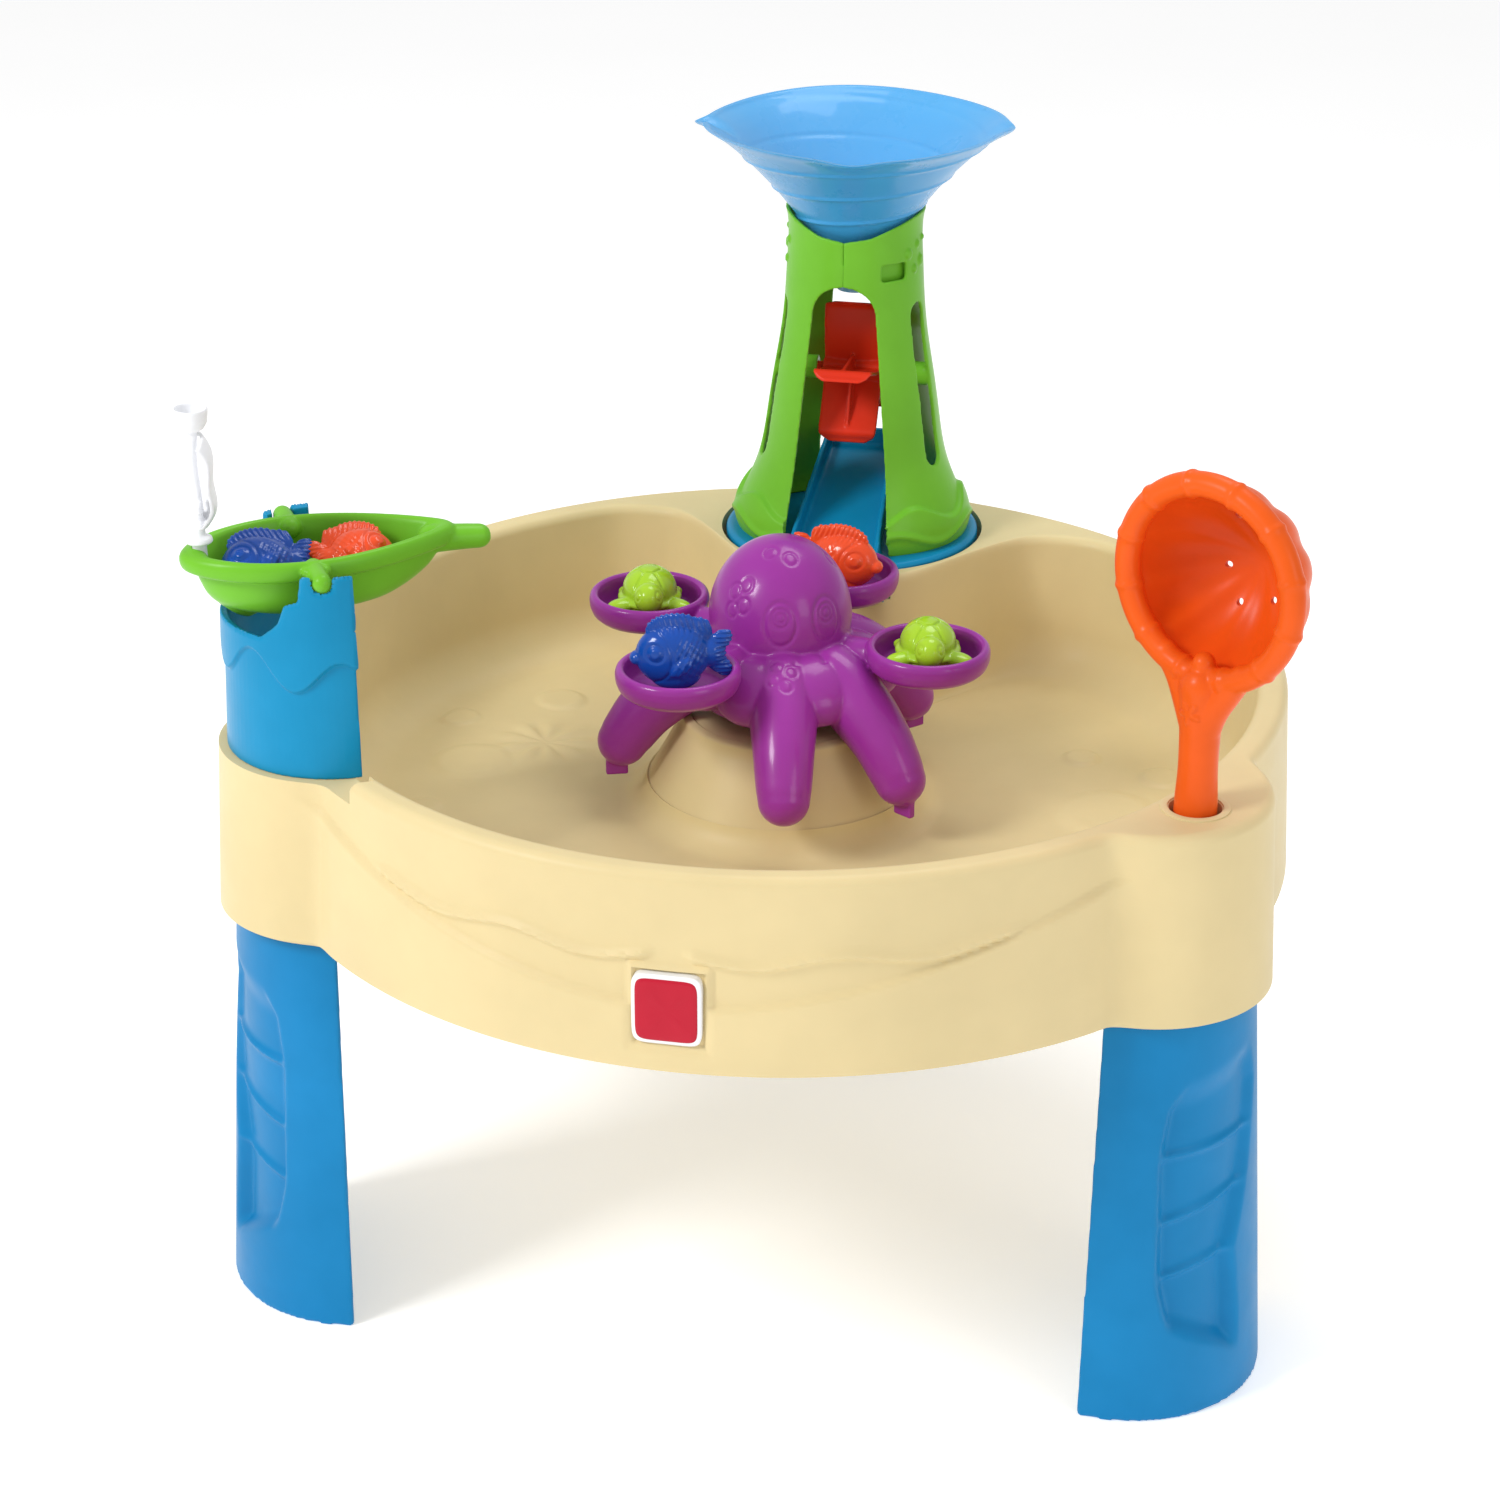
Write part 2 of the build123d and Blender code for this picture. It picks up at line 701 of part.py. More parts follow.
def tentacle_path(plane):
    """Out along the shoulder, then down: two straight runs joined by one arc."""
    with BuildLine(upright(plane)) as path:
        FilletPolyline(
            (body_radius / 2, body_bottom + 38),
            (tentacle_knee, body_bottom + 24),
            (tentacle_reach, tentacle_tip_height),
            radius=tentacle_bend,
        )
    return path.line


room_floor = bush_top + 2 * wall
with BuildPart() as head_room:
    with BuildSketch(upright(ground)):
        with Locations((0, head_height - head_tall)):
            Ellipse(head_radius - wall, head_tall - wall)
        Rectangle(2 * head_height, 4 * head_height, align=(Align.MAX, Align.CENTER), mode=Mode.SUBTRACT)
        Rectangle(2 * head_height, room_floor, align=(Align.CENTER, Align.MIN), mode=Mode.SUBTRACT)
    revolve(axis=Axis(ground.origin, (0, 0, 1)))

with BuildPart() as octopus_body:
    with BuildSketch(upright(ground)):
        with Locations((0, head_height - head_tall)):
            Ellipse(head_radius, head_tall)
        Rectangle(2 * head_height, 4 * head_height, align=(Align.MAX, Align.CENTER), mode=Mode.SUBTRACT)
        Rectangle(2 * head_height, body_bottom, align=(Align.CENTER, Align.MIN), mode=Mode.SUBTRACT)
    revolve(axis=Axis(ground.origin, (0, 0, 1)))
    with Locations((0, basin_y, body_bottom)):
        Cone(body_radius, body_radius - 14, 52, align=level)
    for azimuth in tentacle_azimuths:
        path = tentacle_path(station(0, azimuth))
        with BuildSketch(Plane(path @ 0, z_dir=path % 0)):
            Circle(tentacle_radius)
        sweep(path=path)
        with Locations(Location(station(tentacle_reach, azimuth, tentacle_tip_height))):
            Sphere(tentacle_radius)
    for azimuth in tray_azimuths:
        with BuildSketch(upright(station(body_radius / 2, azimuth, 0), 90)):
            with Locations((0, tray_floor)):
                Circle(arm_radius)
        extrude(amount=tray_reach - body_radius / 2 - tray_radius / 2)
    tray_bottoms = [station(tray_reach, azimuth, tray_floor - tray_wall) for azimuth in tray_azimuths]
    with Locations(*[Location(bottom) for bottom in tray_bottoms]):
        Cylinder(tray_radius, tray_rim - tray_floor + tray_wall, align=level)
    for azimuth in tray_azimuths:
        with Locations(Location(station(tray_reach, azimuth, tray_floor))):
            Cylinder(tray_radius - tray_wall, 4 * tray_wall, align=level, mode=Mode.SUBTRACT)
    # hollow head, hollow underside and the bush's seat
    add(head_room.part, mode=Mode.SUBTRACT)
    with BuildSketch(ground.offset(body_bottom)):
        Circle(body_radius - 2 * wall)
        Circle(bush_radius + wall, mode=Mode.SUBTRACT)
        Rectangle(2 * body_radius, wall, mode=Mode.SUBTRACT)
        Rectangle(wall, 2 * body_radius, mode=Mode.SUBTRACT)
    extrude(amount=room_floor + 1 - body_bottom, mode=Mode.SUBTRACT)
    with BuildSketch(ground.offset(body_bottom)):
        Circle(bush_radius)
    extrude(amount=bush_top + wall - body_bottom, mode=Mode.SUBTRACT)
save(octopus_body, "octopus_body")


# ------------------------------------------------------------------ boat's tower
mount_side = upright(mount_pod)
trunnion_x = trunnion_reach - pod_reach
with BuildPart() as boat_tower:
    mount_tall = mount_crest - mount_foot_height
    with Locations(Location(mount_pod.offset(mount_foot_height))):
        Cone(mount_foot_radius, mount_top_radius, mount_tall, align=level)
        Cone(
            mount_foot_radius - mount_wall,
            mount_top_radius - mount_wall,
            mount_tall,
            align=level,
            mode=Mode.SUBTRACT,
        )
    with BuildSketch(mount_pod.offset(rim_height)):
        Circle(mount_foot_radius - mount_wall)
    extrude(amount=wall)
    with BuildSketch(mount_pod.offset(rim_height)):
        with Locations(*mount_bolts):
            Circle(post_radius)
    extrude(amount=screw_length)
    with BuildSketch(mount_pod.offset(rim_height)):
        with Locations(*mount_bolts):
            Circle(screw_radius)
    extrude(amount=screw_length - wall - 2, mode=Mode.SUBTRACT)
    # only the outer half stands, and its top dips between two crests
    with BuildSketch(mount_pod.offset(mount_foot_height)):
        Rectangle(4 * pod_radius, 4 * pod_radius, align=(Align.MAX, Align.CENTER))
    extrude(amount=2 * mount_tall, mode=Mode.SUBTRACT)
    with BuildSketch(mount_side):
        Polygon(
            (crest_end, mount_crest + 1),
            (crest_end + crest_shoulder / 4, mount_crest - crest_drop),
            (crest_end + crest_shoulder, mount_crest - 1.2 * crest_drop),
            (crest_end + 1.4 * crest_shoulder, mount_crest - 2 * crest_drop),
            (dip_start, mount_dip),
            (2 * pod_radius, mount_dip),
            (2 * pod_radius, mount_crest + 1),
            align=None,
        )
        with Locations((trunnion_x, trunnion_height)):
            Circle(trunnion_radius + slip)
            Rectangle(2 * (trunnion_radius + slip), mount_tall, align=(Align.CENTER, Align.MIN))
    extrude(amount=2 * pod_radius, both=True, mode=Mode.SUBTRACT)
save(boat_tower, "boat_tower")
screws(
    "boat_tower_screws",
    Plane.XY.offset(rim_height - wall),
    spots(mount_pod, mount_bolts),
    length=screw_length - 4,
)


# ------------------------------------------------------------------ boat
inwards = -1 * mount_pod.x_dir
pivot = mount_pod.offset(boat_rim_height).from_local_coords((trunnion_x, 0, 0))
boat = Plane(pivot, x_dir=inwards, z_dir=(0, 0, 1))
boat_side = upright(boat)


def hull(inset, top, bottom):
    """Solid hull between two levels: pointed at the bow, round at the stern, sides leaning out."""
    with BuildPart() as form:
        for level_height in (top, bottom):
            drawn_in = inset + (top - level_height) * tan(radians(boat_flare))
            beam = boat_half_beam - drawn_in
            stern = -boat_stern + drawn_in
            bow = boat_bow - drawn_in
            with BuildSketch(boat.offset(level_height)):
                with BuildLine():
                    for side in (-1, 1):
                        Spline(
                            (stern, 0),
                            (-0.52 * boat_stern, side * 0.93 * beam),
                            (0.1 * boat_bow, side * beam),
                            (bow, side * bow_half_width),
                            tangents=((0, side), (1, -0.28 * side)),
                        )
                    Line((bow, -bow_half_width), (bow, bow_half_width))
                make_face()
        loft(ruled=True)
    return form.part


boat_depth = boat_rim_height - boat_keel_height
with BuildPart() as boat_hull:
    add(hull(gunwale - boat_wall, 0, -boat_depth))
    add(hull(0, 0, -gunwale))
    add(hull(gunwale, 0, boat_wall - boat_depth), mode=Mode.SUBTRACT)
    # stern block that carries the mast, keel fin, trunnions and pouring spout
    with BuildSketch(boat.offset(-stern_block_depth)):
        with Locations((-mast_inset, 0)):
            RectangleRounded(stern_block_length, stern_block_width, stern_rise)
    extrude(amount=stern_block_depth + stern_rise)
    with BuildSketch(boat_side):
        Polygon(
            (-0.5 * boat_stern, -boat_depth + boat_wall / 2),
            (-0.15 * boat_stern, -boat_depth + boat_wall / 2),
            (-0.25 * boat_stern, -boat_depth - fin_depth),
            (-0.4 * boat_stern, -boat_depth - fin_depth),
            align=None,
        )
    extrude(amount=gunwale, both=True)
    trunnion_drop = trunnion_height - boat_rim_height
    for side in (-1, 1):
        with BuildSketch(boat_side.offset(side * (boat_half_beam - gunwale / 2))):
            with Locations((0, trunnion_drop)):
                Circle(trunnion_radius)
        extrude(amount=side * (trunnion_half_span - boat_half_beam + gunwale / 2))
    spout_line = Plane(
        boat.from_local_coords((boat_bow - gunwale, 0, -bow_spout_radius)), x_dir=boat.y_dir, z_dir=inwards
    )
    with BuildSketch(spout_line):
        Circle(bow_spout_radius)
    extrude(amount=bow_spout_length + gunwale)
    with BuildSketch(spout_line.offset(-2 * gunwale)):
        Circle(bow_spout_bore)
    extrude(amount=bow_spout_length + 4 * gunwale, mode=Mode.SUBTRACT)
    with BuildSketch(boat):
        with Locations((-mast_inset, 0)):
            Circle(mast_radius + running)
    extrude(amount=2 * stern_rise, both=True, mode=Mode.SUBTRACT)
save(boat_hull, "boat_hull")

mast_foot = boat_rim_height - 2 * stern_rise
with BuildPart() as mast:
    mast_axis = Plane(boat.from_local_coords((-mast_inset, 0, 0)), x_dir=inwards, z_dir=(0, 0, 1))
    with BuildSketch(mast_axis.offset(-2 * stern_rise)):
        Circle(mast_radius)
    extrude(amount=mast_height - mast_foot)
    with BuildSketch(mast_axis.offset(stern_rise)):
        Circle(mast_radius + cleat_wall)
    extrude(amount=cleat_height)
    # billowed sail across the boat, and the look-out cup at the top
    with BuildSketch(mast_axis.offset(sail_foot - boat_rim_height)):
        with Locations((-sail_radius, 0)):
            Circle(sail_radius + mast_radius + sail_wall / 2)
            Circle(sail_radius + mast_radius - sail_wall / 2, mode=Mode.SUBTRACT)
        Rectangle(4 * sail_radius, sail_width, mode=Mode.INTERSECT)
        Rectangle(4 * sail_radius, sail_width, align=(Align.MAX, Align.CENTER), mode=Mode.SUBTRACT)
    extrude(amount=sail_tall)
    with BuildSketch(mast_axis.offset(mast_height - boat_rim_height - lookout_tall)):
        Circle(lookout_radius)
    extrude(amount=lookout_tall)
    with BuildSketch(mast_axis.offset(mast_height - boat_rim_height)):
        Circle(lookout_radius - lookout_wall)
    extrude(amount=sail_wall - lookout_tall, mode=Mode.SUBTRACT)
save(mast, "mast")


# ------------------------------------------------------------------ scoop
scoop_foot = station(scoop_reach, scoop_azimuth)
facing = Vector(cos(radians(hoop_facing)), sin(radians(hoop_facing)), 0)
across = facing.cross(Vector(0, 0, 1))
hoop_plane = Plane(scoop_foot.origin + Vector(0, 0, hoop_height), x_dir=across, z_dir=facing)
hoop_section = Plane(hoop_plane.origin, x_dir=across, z_dir=across.cross(facing))
with BuildPart() as scoop:
    with BuildSketch(scoop_foot.offset(rim_height - socket_depth + slip)):
        Circle(handle_radius)
    extrude(amount=hoop_height - hoop_radius - rim_height + socket_depth)
    # the bag's half profile and the hoop's tube, turned once about the facing line
    with BuildSketch(hoop_section):
        Ellipse(hoop_radius, bag_depth)
        Ellipse(hoop_radius - bag_wall, bag_depth - bag_wall, mode=Mode.SUBTRACT)
        Rectangle(4 * hoop_radius, 4 * hoop_radius, align=(Align.CENTER, Align.MIN), mode=Mode.SUBTRACT)
        with Locations((hoop_radius, 0)):
            Circle(hoop_tube)
        Rectangle(4 * hoop_radius, 4 * hoop_radius, align=(Align.MAX, Align.CENTER), mode=Mode.SUBTRACT)
    revolve(axis=Axis(hoop_plane.origin, facing))
    with BuildSketch(scoop_foot.offset(rim_height - socket_depth)):
        Circle(handle_radius - handle_wall)
    extrude(amount=handle_hollow, mode=Mode.SUBTRACT)
save(scoop, "scoop")


# ------------------------------------------------------------------ toys
def fish(name, plane, length, height):
    """Squirting fish, standing on its belly, heading along the plane's x."""
    with BuildPart() as toy:
        for across, share in ((-1, 0.55), (0, 1.0), (1, 0.55)):
            with BuildSketch(upright(plane).offset(across * fish_thickness / 2)):
                with Locations((0, height / 2)):
                    Ellipse(share * length / 2, share * height / 2)
        loft()
        split(bisect_by=plane.offset(toy_base), keep=Keep.TOP)
    save(toy, name)


def turtle(name, plane):
    """Squirting turtle, lying on its belly, heading along the plane's x."""
    with BuildPart() as toy:
        with BuildSketch(plane):
            Ellipse(turtle_length / 2, turtle_width / 2)
        extrude(amount=turtle_height)
        fillet(toy.faces().sort_by(Axis.Z)[-1].edges(), radius=turtle_height / 3)
    save(toy, name)


def headed(plane, azimuth):
    """The same level plane, its x turned to an azimuth of the row frame."""
    return Plane(plane.origin, x_dir=(cos(radians(azimuth)), sin(radians(azimuth)), 0), z_dir=(0, 0, 1))


tray_seats = [station(tray_reach, azimuth, tray_floor + toy_gap) for azimuth in tray_azimuths]
boat_seat = boat.offset(boat_wall - boat_depth + boat_toy_rise)
fish("fish_blue_tray", headed(tray_seats[0], 195).offset(-toy_base), fish_length, fish_height)
turtle("turtle_right", headed(tray_seats[1], -78))
fish("fish_orange_tray", headed(tray_seats[2], -12).offset(-toy_base), fish_length, low_fish_height)
turtle("turtle_left", headed(tray_seats[3], -78))
for name, along, length, height in (
    ("fish_blue_boat", boat_toy_stern, short_fish_length, fish_height),
    ("fish_orange_boat", boat_toy_bow, short_fish_length, low_fish_height),
):
    seat = Plane(boat_seat.from_local_coords((along, 0, 0)), x_dir=inwards, z_dir=(0, 0, 1))
    fish(name, seat.offset(-toy_base), length, height)
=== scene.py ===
import json
from math import cos, pi, radians, sin

import bmesh
import bpy
import numpy as np
from bpy.props import FloatProperty, FloatVectorProperty, PointerProperty
from bpy.types import Operator, Panel, PropertyGroup
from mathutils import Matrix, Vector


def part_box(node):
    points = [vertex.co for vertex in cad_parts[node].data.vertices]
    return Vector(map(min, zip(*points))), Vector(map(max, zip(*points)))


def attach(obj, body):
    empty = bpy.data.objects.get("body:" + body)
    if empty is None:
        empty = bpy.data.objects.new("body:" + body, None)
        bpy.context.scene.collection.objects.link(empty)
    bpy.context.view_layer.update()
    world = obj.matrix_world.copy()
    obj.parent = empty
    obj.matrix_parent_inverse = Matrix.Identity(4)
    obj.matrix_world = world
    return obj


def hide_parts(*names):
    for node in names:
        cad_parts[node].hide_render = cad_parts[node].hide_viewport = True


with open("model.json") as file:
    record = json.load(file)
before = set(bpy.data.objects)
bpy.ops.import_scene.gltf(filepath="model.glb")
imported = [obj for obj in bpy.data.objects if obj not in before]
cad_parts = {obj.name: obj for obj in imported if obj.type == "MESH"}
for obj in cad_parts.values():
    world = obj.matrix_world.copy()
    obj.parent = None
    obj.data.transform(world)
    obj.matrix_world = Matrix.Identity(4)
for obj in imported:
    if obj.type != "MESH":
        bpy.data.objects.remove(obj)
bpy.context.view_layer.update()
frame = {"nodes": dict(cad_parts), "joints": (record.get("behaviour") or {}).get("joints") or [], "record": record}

bl_info = {
    "name": "Sand and Water Table",
    "version": (1, 0, 0),
    "blender": (4, 5, 0),
    "location": "3D View > Sidebar > Water Table",
    "description": "Builds the moulded pieces of a toddler's sand and water table",
    "category": "Object",
}

MM = 0.001
UP = np.array((0.0, 0.0, 1.0))


def middle(*nodes):
    """Centre of the box round some CAD nodes, in millimetres."""
    lows, highs = zip(*[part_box(node) for node in nodes])
    return (np.min(lows, axis=0) + np.max(highs, axis=0)) * 500


def pivot_of(joint_name):
    """A joint's position, in millimetres."""
    return next(np.array(j["pos_m"]) * 1000 for j in frame["joints"] if j["name"] == joint_name)


AXIS = middle("spinner_spindle") * (1, 1, 0)
TOWER = middle("tower_base_screws") * (1, 1, 0)
WHEEL = pivot_of("wheel_spin")
BOAT_PIVOT = pivot_of("boat_tilt")
POD_AZIMUTHS = {"front_left": -150.0, "front_right": -30.0, "back": 90.0}
TRAY_AZIMUTHS = {"fish_blue_tray": -119.0, "turtle_right": -12.0, "fish_orange_tray": 79.0, "turtle_left": 162.0}
TENTACLE_AZIMUTHS = (-78.0, -33.0, 47.0, 199.0)


def bearing(azimuth):
    """Level unit vector at an azimuth in degrees."""
    return np.array((cos(radians(azimuth)), sin(radians(azimuth)), 0.0))


def station(reach, azimuth, height=0.0):
    """Point at a polar place round the basin's axis."""
    return AXIS + reach * bearing(azimuth) + height * UP


def settle(origin, forward, upward=UP):
    """Frame with its x along forward, its z along upward."""
    forward = np.array(forward, float)
    upward = np.array(upward, float)
    side = np.cross(upward, forward)
    return np.array(origin, float), np.stack((forward, side, upward))


def carry(points, seat):
    """Local points into the row frame."""
    origin, axes = seat
    return origin + np.asarray(points, float) @ axes


def ramp(value, low, high):
    """Smooth step from 0 at low to 1 at high."""
    t = np.clip((value - low) / (high - low), 0, 1)
    return t * t * (3 - 2 * t)


def bump(value, centre, width):
    """Bell of height 1."""
    return np.exp(-(((value - centre) / width) ** 2))


# ------------------------------------------------------------------ sizes and colours
def length(name, description, default):
    return FloatProperty(name=name, description=description, default=default * MM, min=0, unit="LENGTH")


def srgb(red, green, blue):
    """Linear colour from display values out of 255."""
    return tuple(((c / 255 + 0.055) / 1.055) ** 2.4 for c in (red, green, blue))


def tint(name, description, colour):
    return FloatVectorProperty(
        name=name, description=description, default=srgb(*colour), size=3, min=0, max=1, subtype="COLOR"
    )


class WATERTABLE_PG_sizes(PropertyGroup):
    """Sizes of the table's moulded pieces."""

    rim_height: length("Rim height", "Height of the basin's rim", 487)
    rim_radius: length("Rim radius", "Outer radius of the basin's rim", 400)
    bowl_radius: length("Bowl radius", "Inner radius of the bowl at the rim", 377)
    floor_height: length("Floor height", "Height of the bowl's floor", 365)
    skirt_bottom: length("Skirt bottom", "Height of the skirt's lower edge", 335)
    pod_reach: length("Pod reach", "Distance of the pods from the basin's axis", 360)
    pod_radius: length("Pod radius", "Radius of the pods over the legs", 92)
    leg_foot: length("Leg foot", "Radius of a leg at the floor", 108)
    leg_top: length("Leg top", "Radius of a leg at its top", 86)
    leg_height: length("Leg height", "Height of a leg", 352)
    funnel_rim: length("Funnel rim", "Radius of the funnel's rim", 130)
    hoop_radius: length("Scoop hoop", "Radius of the scoop's hoop", 72)
    head_radius: length("Octopus head", "Radius of the octopus's head", 57)
    paddle_reach: length("Paddle reach", "Radius of the water wheel", 66)
    relief: length("Relief", "Depth of the moulded relief lines", 2.8)


class WATERTABLE_PG_colours(PropertyGroup):
    """Colours of the plastics."""

    beige: tint("Basin", "Sand-coloured basin", (220, 201, 152))
    leg_blue: tint("Legs", "Blue of the legs", (0, 125, 183))
    tower_blue: tint("Blue fittings", "Blue of the chute and the boat's tower", (0, 135, 182))
    green: tint("Green", "Green of the tower and the boat", (112, 186, 44))
    purple: tint("Octopus", "Purple of the octopus", (150, 46, 150))
    red: tint("Wheel", "Red of the water wheel", (228, 52, 24))
    orange: tint("Scoop", "Orange of the scoop", (234, 92, 20))
    clear_blue: tint("Funnel", "Translucent blue of the funnel", (70, 172, 232))
    white: tint("Mast", "White of the mast", (236, 237, 240))
    toy_blue: tint("Blue toys", "Blue of the fish", (8, 72, 168))
    toy_orange: tint("Orange toys", "Orange of the fish", (238, 78, 30))
    toy_green: tint("Green toys", "Green of the turtles", (166, 208, 40))
    badge_red: tint("Badge", "Red of the badge", (186, 24, 48))


# ------------------------------------------------------------------ materials
class Wire:
    """A shader socket; arithmetic on it adds Math nodes."""

    def __init__(self, shade, socket):
        self.shade = shade
        self.socket = socket

    def _join(self, operation, first, second):
        made = self.shade.node("ShaderNodeMath", {"operation": operation}, {0: first, 1: second})
        return Wire(self.shade, made.outputs[0])

    def __add__(self, other):
        return self._join("ADD", self, other)

    def __radd__(self, other):
        return self._join("ADD", other, self)

    def __sub__(self, other):
        return self._join("SUBTRACT", self, other)

    def __rsub__(self, other):
        return self._join("SUBTRACT", other, self)

    def __mul__(self, other):
        return self._join("MULTIPLY", self, other)

    def __rmul__(self, other):
        return self._join("MULTIPLY", other, self)


class Shade:
    """One material's node tree."""

    def __init__(self, name):
        self.material = bpy.data.materials.new(name)
        self.material.use_nodes = True
        self.tree = self.material.node_tree
        self.tree.nodes.clear()

    def node(self, kind, settings=None, sockets=None):
        """Add a node: its settings first, then values or links for its sockets."""
        made = self.tree.nodes.new(kind)
        for key, value in (settings or {}).items():
            if key == "stops":
                for stop, (place, colour) in zip(made.color_ramp.elements, value):
                    stop.position = place
                    stop.color = (*colour, 1)
            else:
                setattr(made, key, value)
        for key, value in (sockets or {}).items():
            if isinstance(value, Wire):
                self.tree.links.new(value.socket, made.inputs[key])
            else:
                made.inputs[key].default_value = value
        return made

    def wire(self, kind, settings=None, sockets=None, output=0):
        return Wire(self, self.node(kind, settings, sockets).outputs[output])

    def noise(self, scale, detail=3.0, rough=0.5):
        place = self.wire("ShaderNodeTexCoord", output="Object")
        return self.wire(
            "ShaderNodeTexNoise", sockets={"Vector": place, "Scale": scale, "Detail": detail, "Roughness": rough}
        )

    def spread(self, value, low, high):
        """Value between low and high stretched to 0..1."""
        settings = {"stops": ((low, (0, 0, 0)), (high, (1, 1, 1)))}
        return self.wire("ShaderNodeValToRGB", settings, {0: value})

    def blend(self, factor, first, second):
        made = self.node("ShaderNodeMix", {"data_type": "RGBA"}, {0: factor, 6: first, 7: second})
        return Wire(self, made.outputs[2])

    def finish(self, sockets):
        surface = self.wire("ShaderNodeBsdfPrincipled", sockets=sockets)
        self.node("ShaderNodeOutputMaterial", sockets={0: surface})
        return self.material


def shaded(colour, gain, lift=0.0):
    return tuple(min(1.0, c * gain + lift) for c in colour) + (1.0,)


def plastic(name, colour, rough, grain=0.00006, streaks=0.10, wear=0.35, softness=0.0, extra=None):
    """Moulded plastic: mottled pigment, rubbed edges, uneven gloss and a fine mould texture."""
    shade = Shade(name)
    mottle = shade.spread(shade.noise(7.0, 4.0, 0.6), 0.32, 0.68)
    body = shade.blend(mottle, shaded(colour, 1 - streaks), shaded(colour, 1 + streaks * 0.6, 0.004))
    edge = shade.wire("ShaderNodeNewGeometry", output="Pointiness")
    rubbed = shade.spread(edge, 0.53, 0.62) * shade.spread(shade.noise(38.0, 5.0, 0.7), 0.38, 0.7) * wear
    body = shade.blend(rubbed, body, shaded(colour, 0.8, 0.16))
    smudge = shade.spread(shade.noise(16.0, 6.0, 0.65), 0.35, 0.7)
    height = shade.noise(900.0, 2.0, 0.5) + 2.5 * shade.noise(120.0, 3.0, 0.5)
    normal = shade.wire("ShaderNodeBump", sockets={"Strength": 0.5, "Distance": grain, "Height": height})
    sockets = {
        "Base Color": body,
        "Roughness": smudge * 0.12 + rubbed * 0.2 + (rough - 0.06),
        "Normal": normal,
        "IOR": 1.46,
        "Specular IOR Level": 0.2,
        "Subsurface Weight": softness,
        "Subsurface Radius": (0.006, 0.004, 0.003),
        "Subsurface Scale": 1.0,
    }
    sockets.update(extra or {})
    return shade.finish(sockets)


def plated(name):
    """Zinc-plated screw steel with fine turning marks."""
    shade = Shade(name)
    marks = shade.spread(shade.noise(260.0, 6.0, 0.7), 0.3, 0.7)
    body = shade.blend(marks, (0.46, 0.47, 0.48, 1), (0.68, 0.69, 0.70, 1))
    normal = shade.wire("ShaderNodeBump", sockets={"Strength": 0.4, "Distance": 0.00004, "Height": marks})
    return shade.finish({"Base Color": body, "Metallic": 1.0, "Roughness": marks * 0.2 + 0.25, "Normal": normal})


FINISHES = {}


def finish_for(name):
    """The material of one plastic, made once from the colours in the panel."""
    if name not in FINISHES:
        colour = tuple(getattr(bpy.context.scene.water_table_colours, name, (0.6, 0.6, 0.6)))
        if name == "steel":
            FINISHES[name] = plated("screw_steel")
        elif name == "beige":
            FINISHES[name] = plastic("basin_beige", colour, 0.42, streaks=0.05, softness=0.06)
        elif name == "clear_blue":
            clear = {"Alpha": 0.76, "Coat Weight": 0.3, "Subsurface Weight": 0.0}
            FINISHES[name] = plastic(name, colour, 0.3, grain=0.00002, streaks=0.03, wear=0.0, extra=clear)
        elif name in ("toy_blue", "toy_orange", "toy_green"):
            gloss = {"Coat Weight": 0.45, "Coat Roughness": 0.1}
            FINISHES[name] = plastic(name, colour, 0.24, streaks=0.10, wear=0.15, extra=gloss)
        elif name == "purple":
            FINISHES[name] = plastic(name, colour, 0.34, extra={"Coat Weight": 0.3, "Coat Roughness": 0.14})
        else:
            rough = {"leg_blue": 0.40, "badge_red": 0.2}.get(name, 0.34)
            FINISHES[name] = plastic(name, colour, rough)
    return FINISHES[name]


def coat(node, finish):
    """Give a carried-over CAD node its material."""
    mesh = frame["nodes"][node].data
    mesh.materials.clear()
    mesh.materials.append(finish_for(finish))


# ------------------------------------------------------------------ mesh tools
def piece_from(name, points, faces):
    """Object from points in millimetres."""
    mesh = bpy.data.meshes.new(name)
    mesh.from_pydata((np.asarray(points) * MM).tolist(), [], faces)
    made = bpy.data.objects.new(name, mesh)
    bpy.context.scene.collection.objects.link(made)
    clean(made)
    return made


def clean(piece):
    """Weld coincident points, drop empty faces and turn all faces outwards."""
    work = bmesh.new()
    work.from_mesh(piece.data)
    bmesh.ops.remove_doubles(work, verts=work.verts, dist=0.000002)
    bmesh.ops.dissolve_degenerate(work, edges=work.edges, dist=0.000001)
    bmesh.ops.recalc_face_normals(work, faces=work.faces)
    work.to_mesh(piece.data)
    work.free()


def sheet(name, grid, rows_join=False, columns_join=False):
    """Quads over a grid of points, joined across its ends where asked."""
    grid = np.asarray(grid, float)
    rows, columns = grid.shape[:2]
    index = np.arange(rows * columns).reshape(rows, columns)
    if rows_join:
        index = np.vstack((index, index[:1]))
    if columns_join:
        index = np.hstack((index, index[:, :1]))
    quads = np.stack((index[:-1, :-1], index[:-1, 1:], index[1:, 1:], index[1:, :-1]), axis=-1)
    return piece_from(name, grid.reshape(-1, 3), quads.reshape(-1, 4).tolist())


def spun(name, profile, seat, turns=96, ring=False):
    """Closed form turned about the seat's z from (radius, height) points."""
    profile = np.array(profile, float)
    angles = np.linspace(0, 2 * pi, turns, endpoint=False)
    radius = profile[:, 0][None, :]
    local = np.stack(
        (np.cos(angles)[:, None] * radius, np.sin(angles)[:, None] * radius, np.ones((turns, 1)) * profile[:, 1]),
        axis=-1,
    )
    grid = carry(local.reshape(-1, 3), seat).reshape(local.shape)
    return sheet(name, grid, rows_join=True, columns_join=ring)


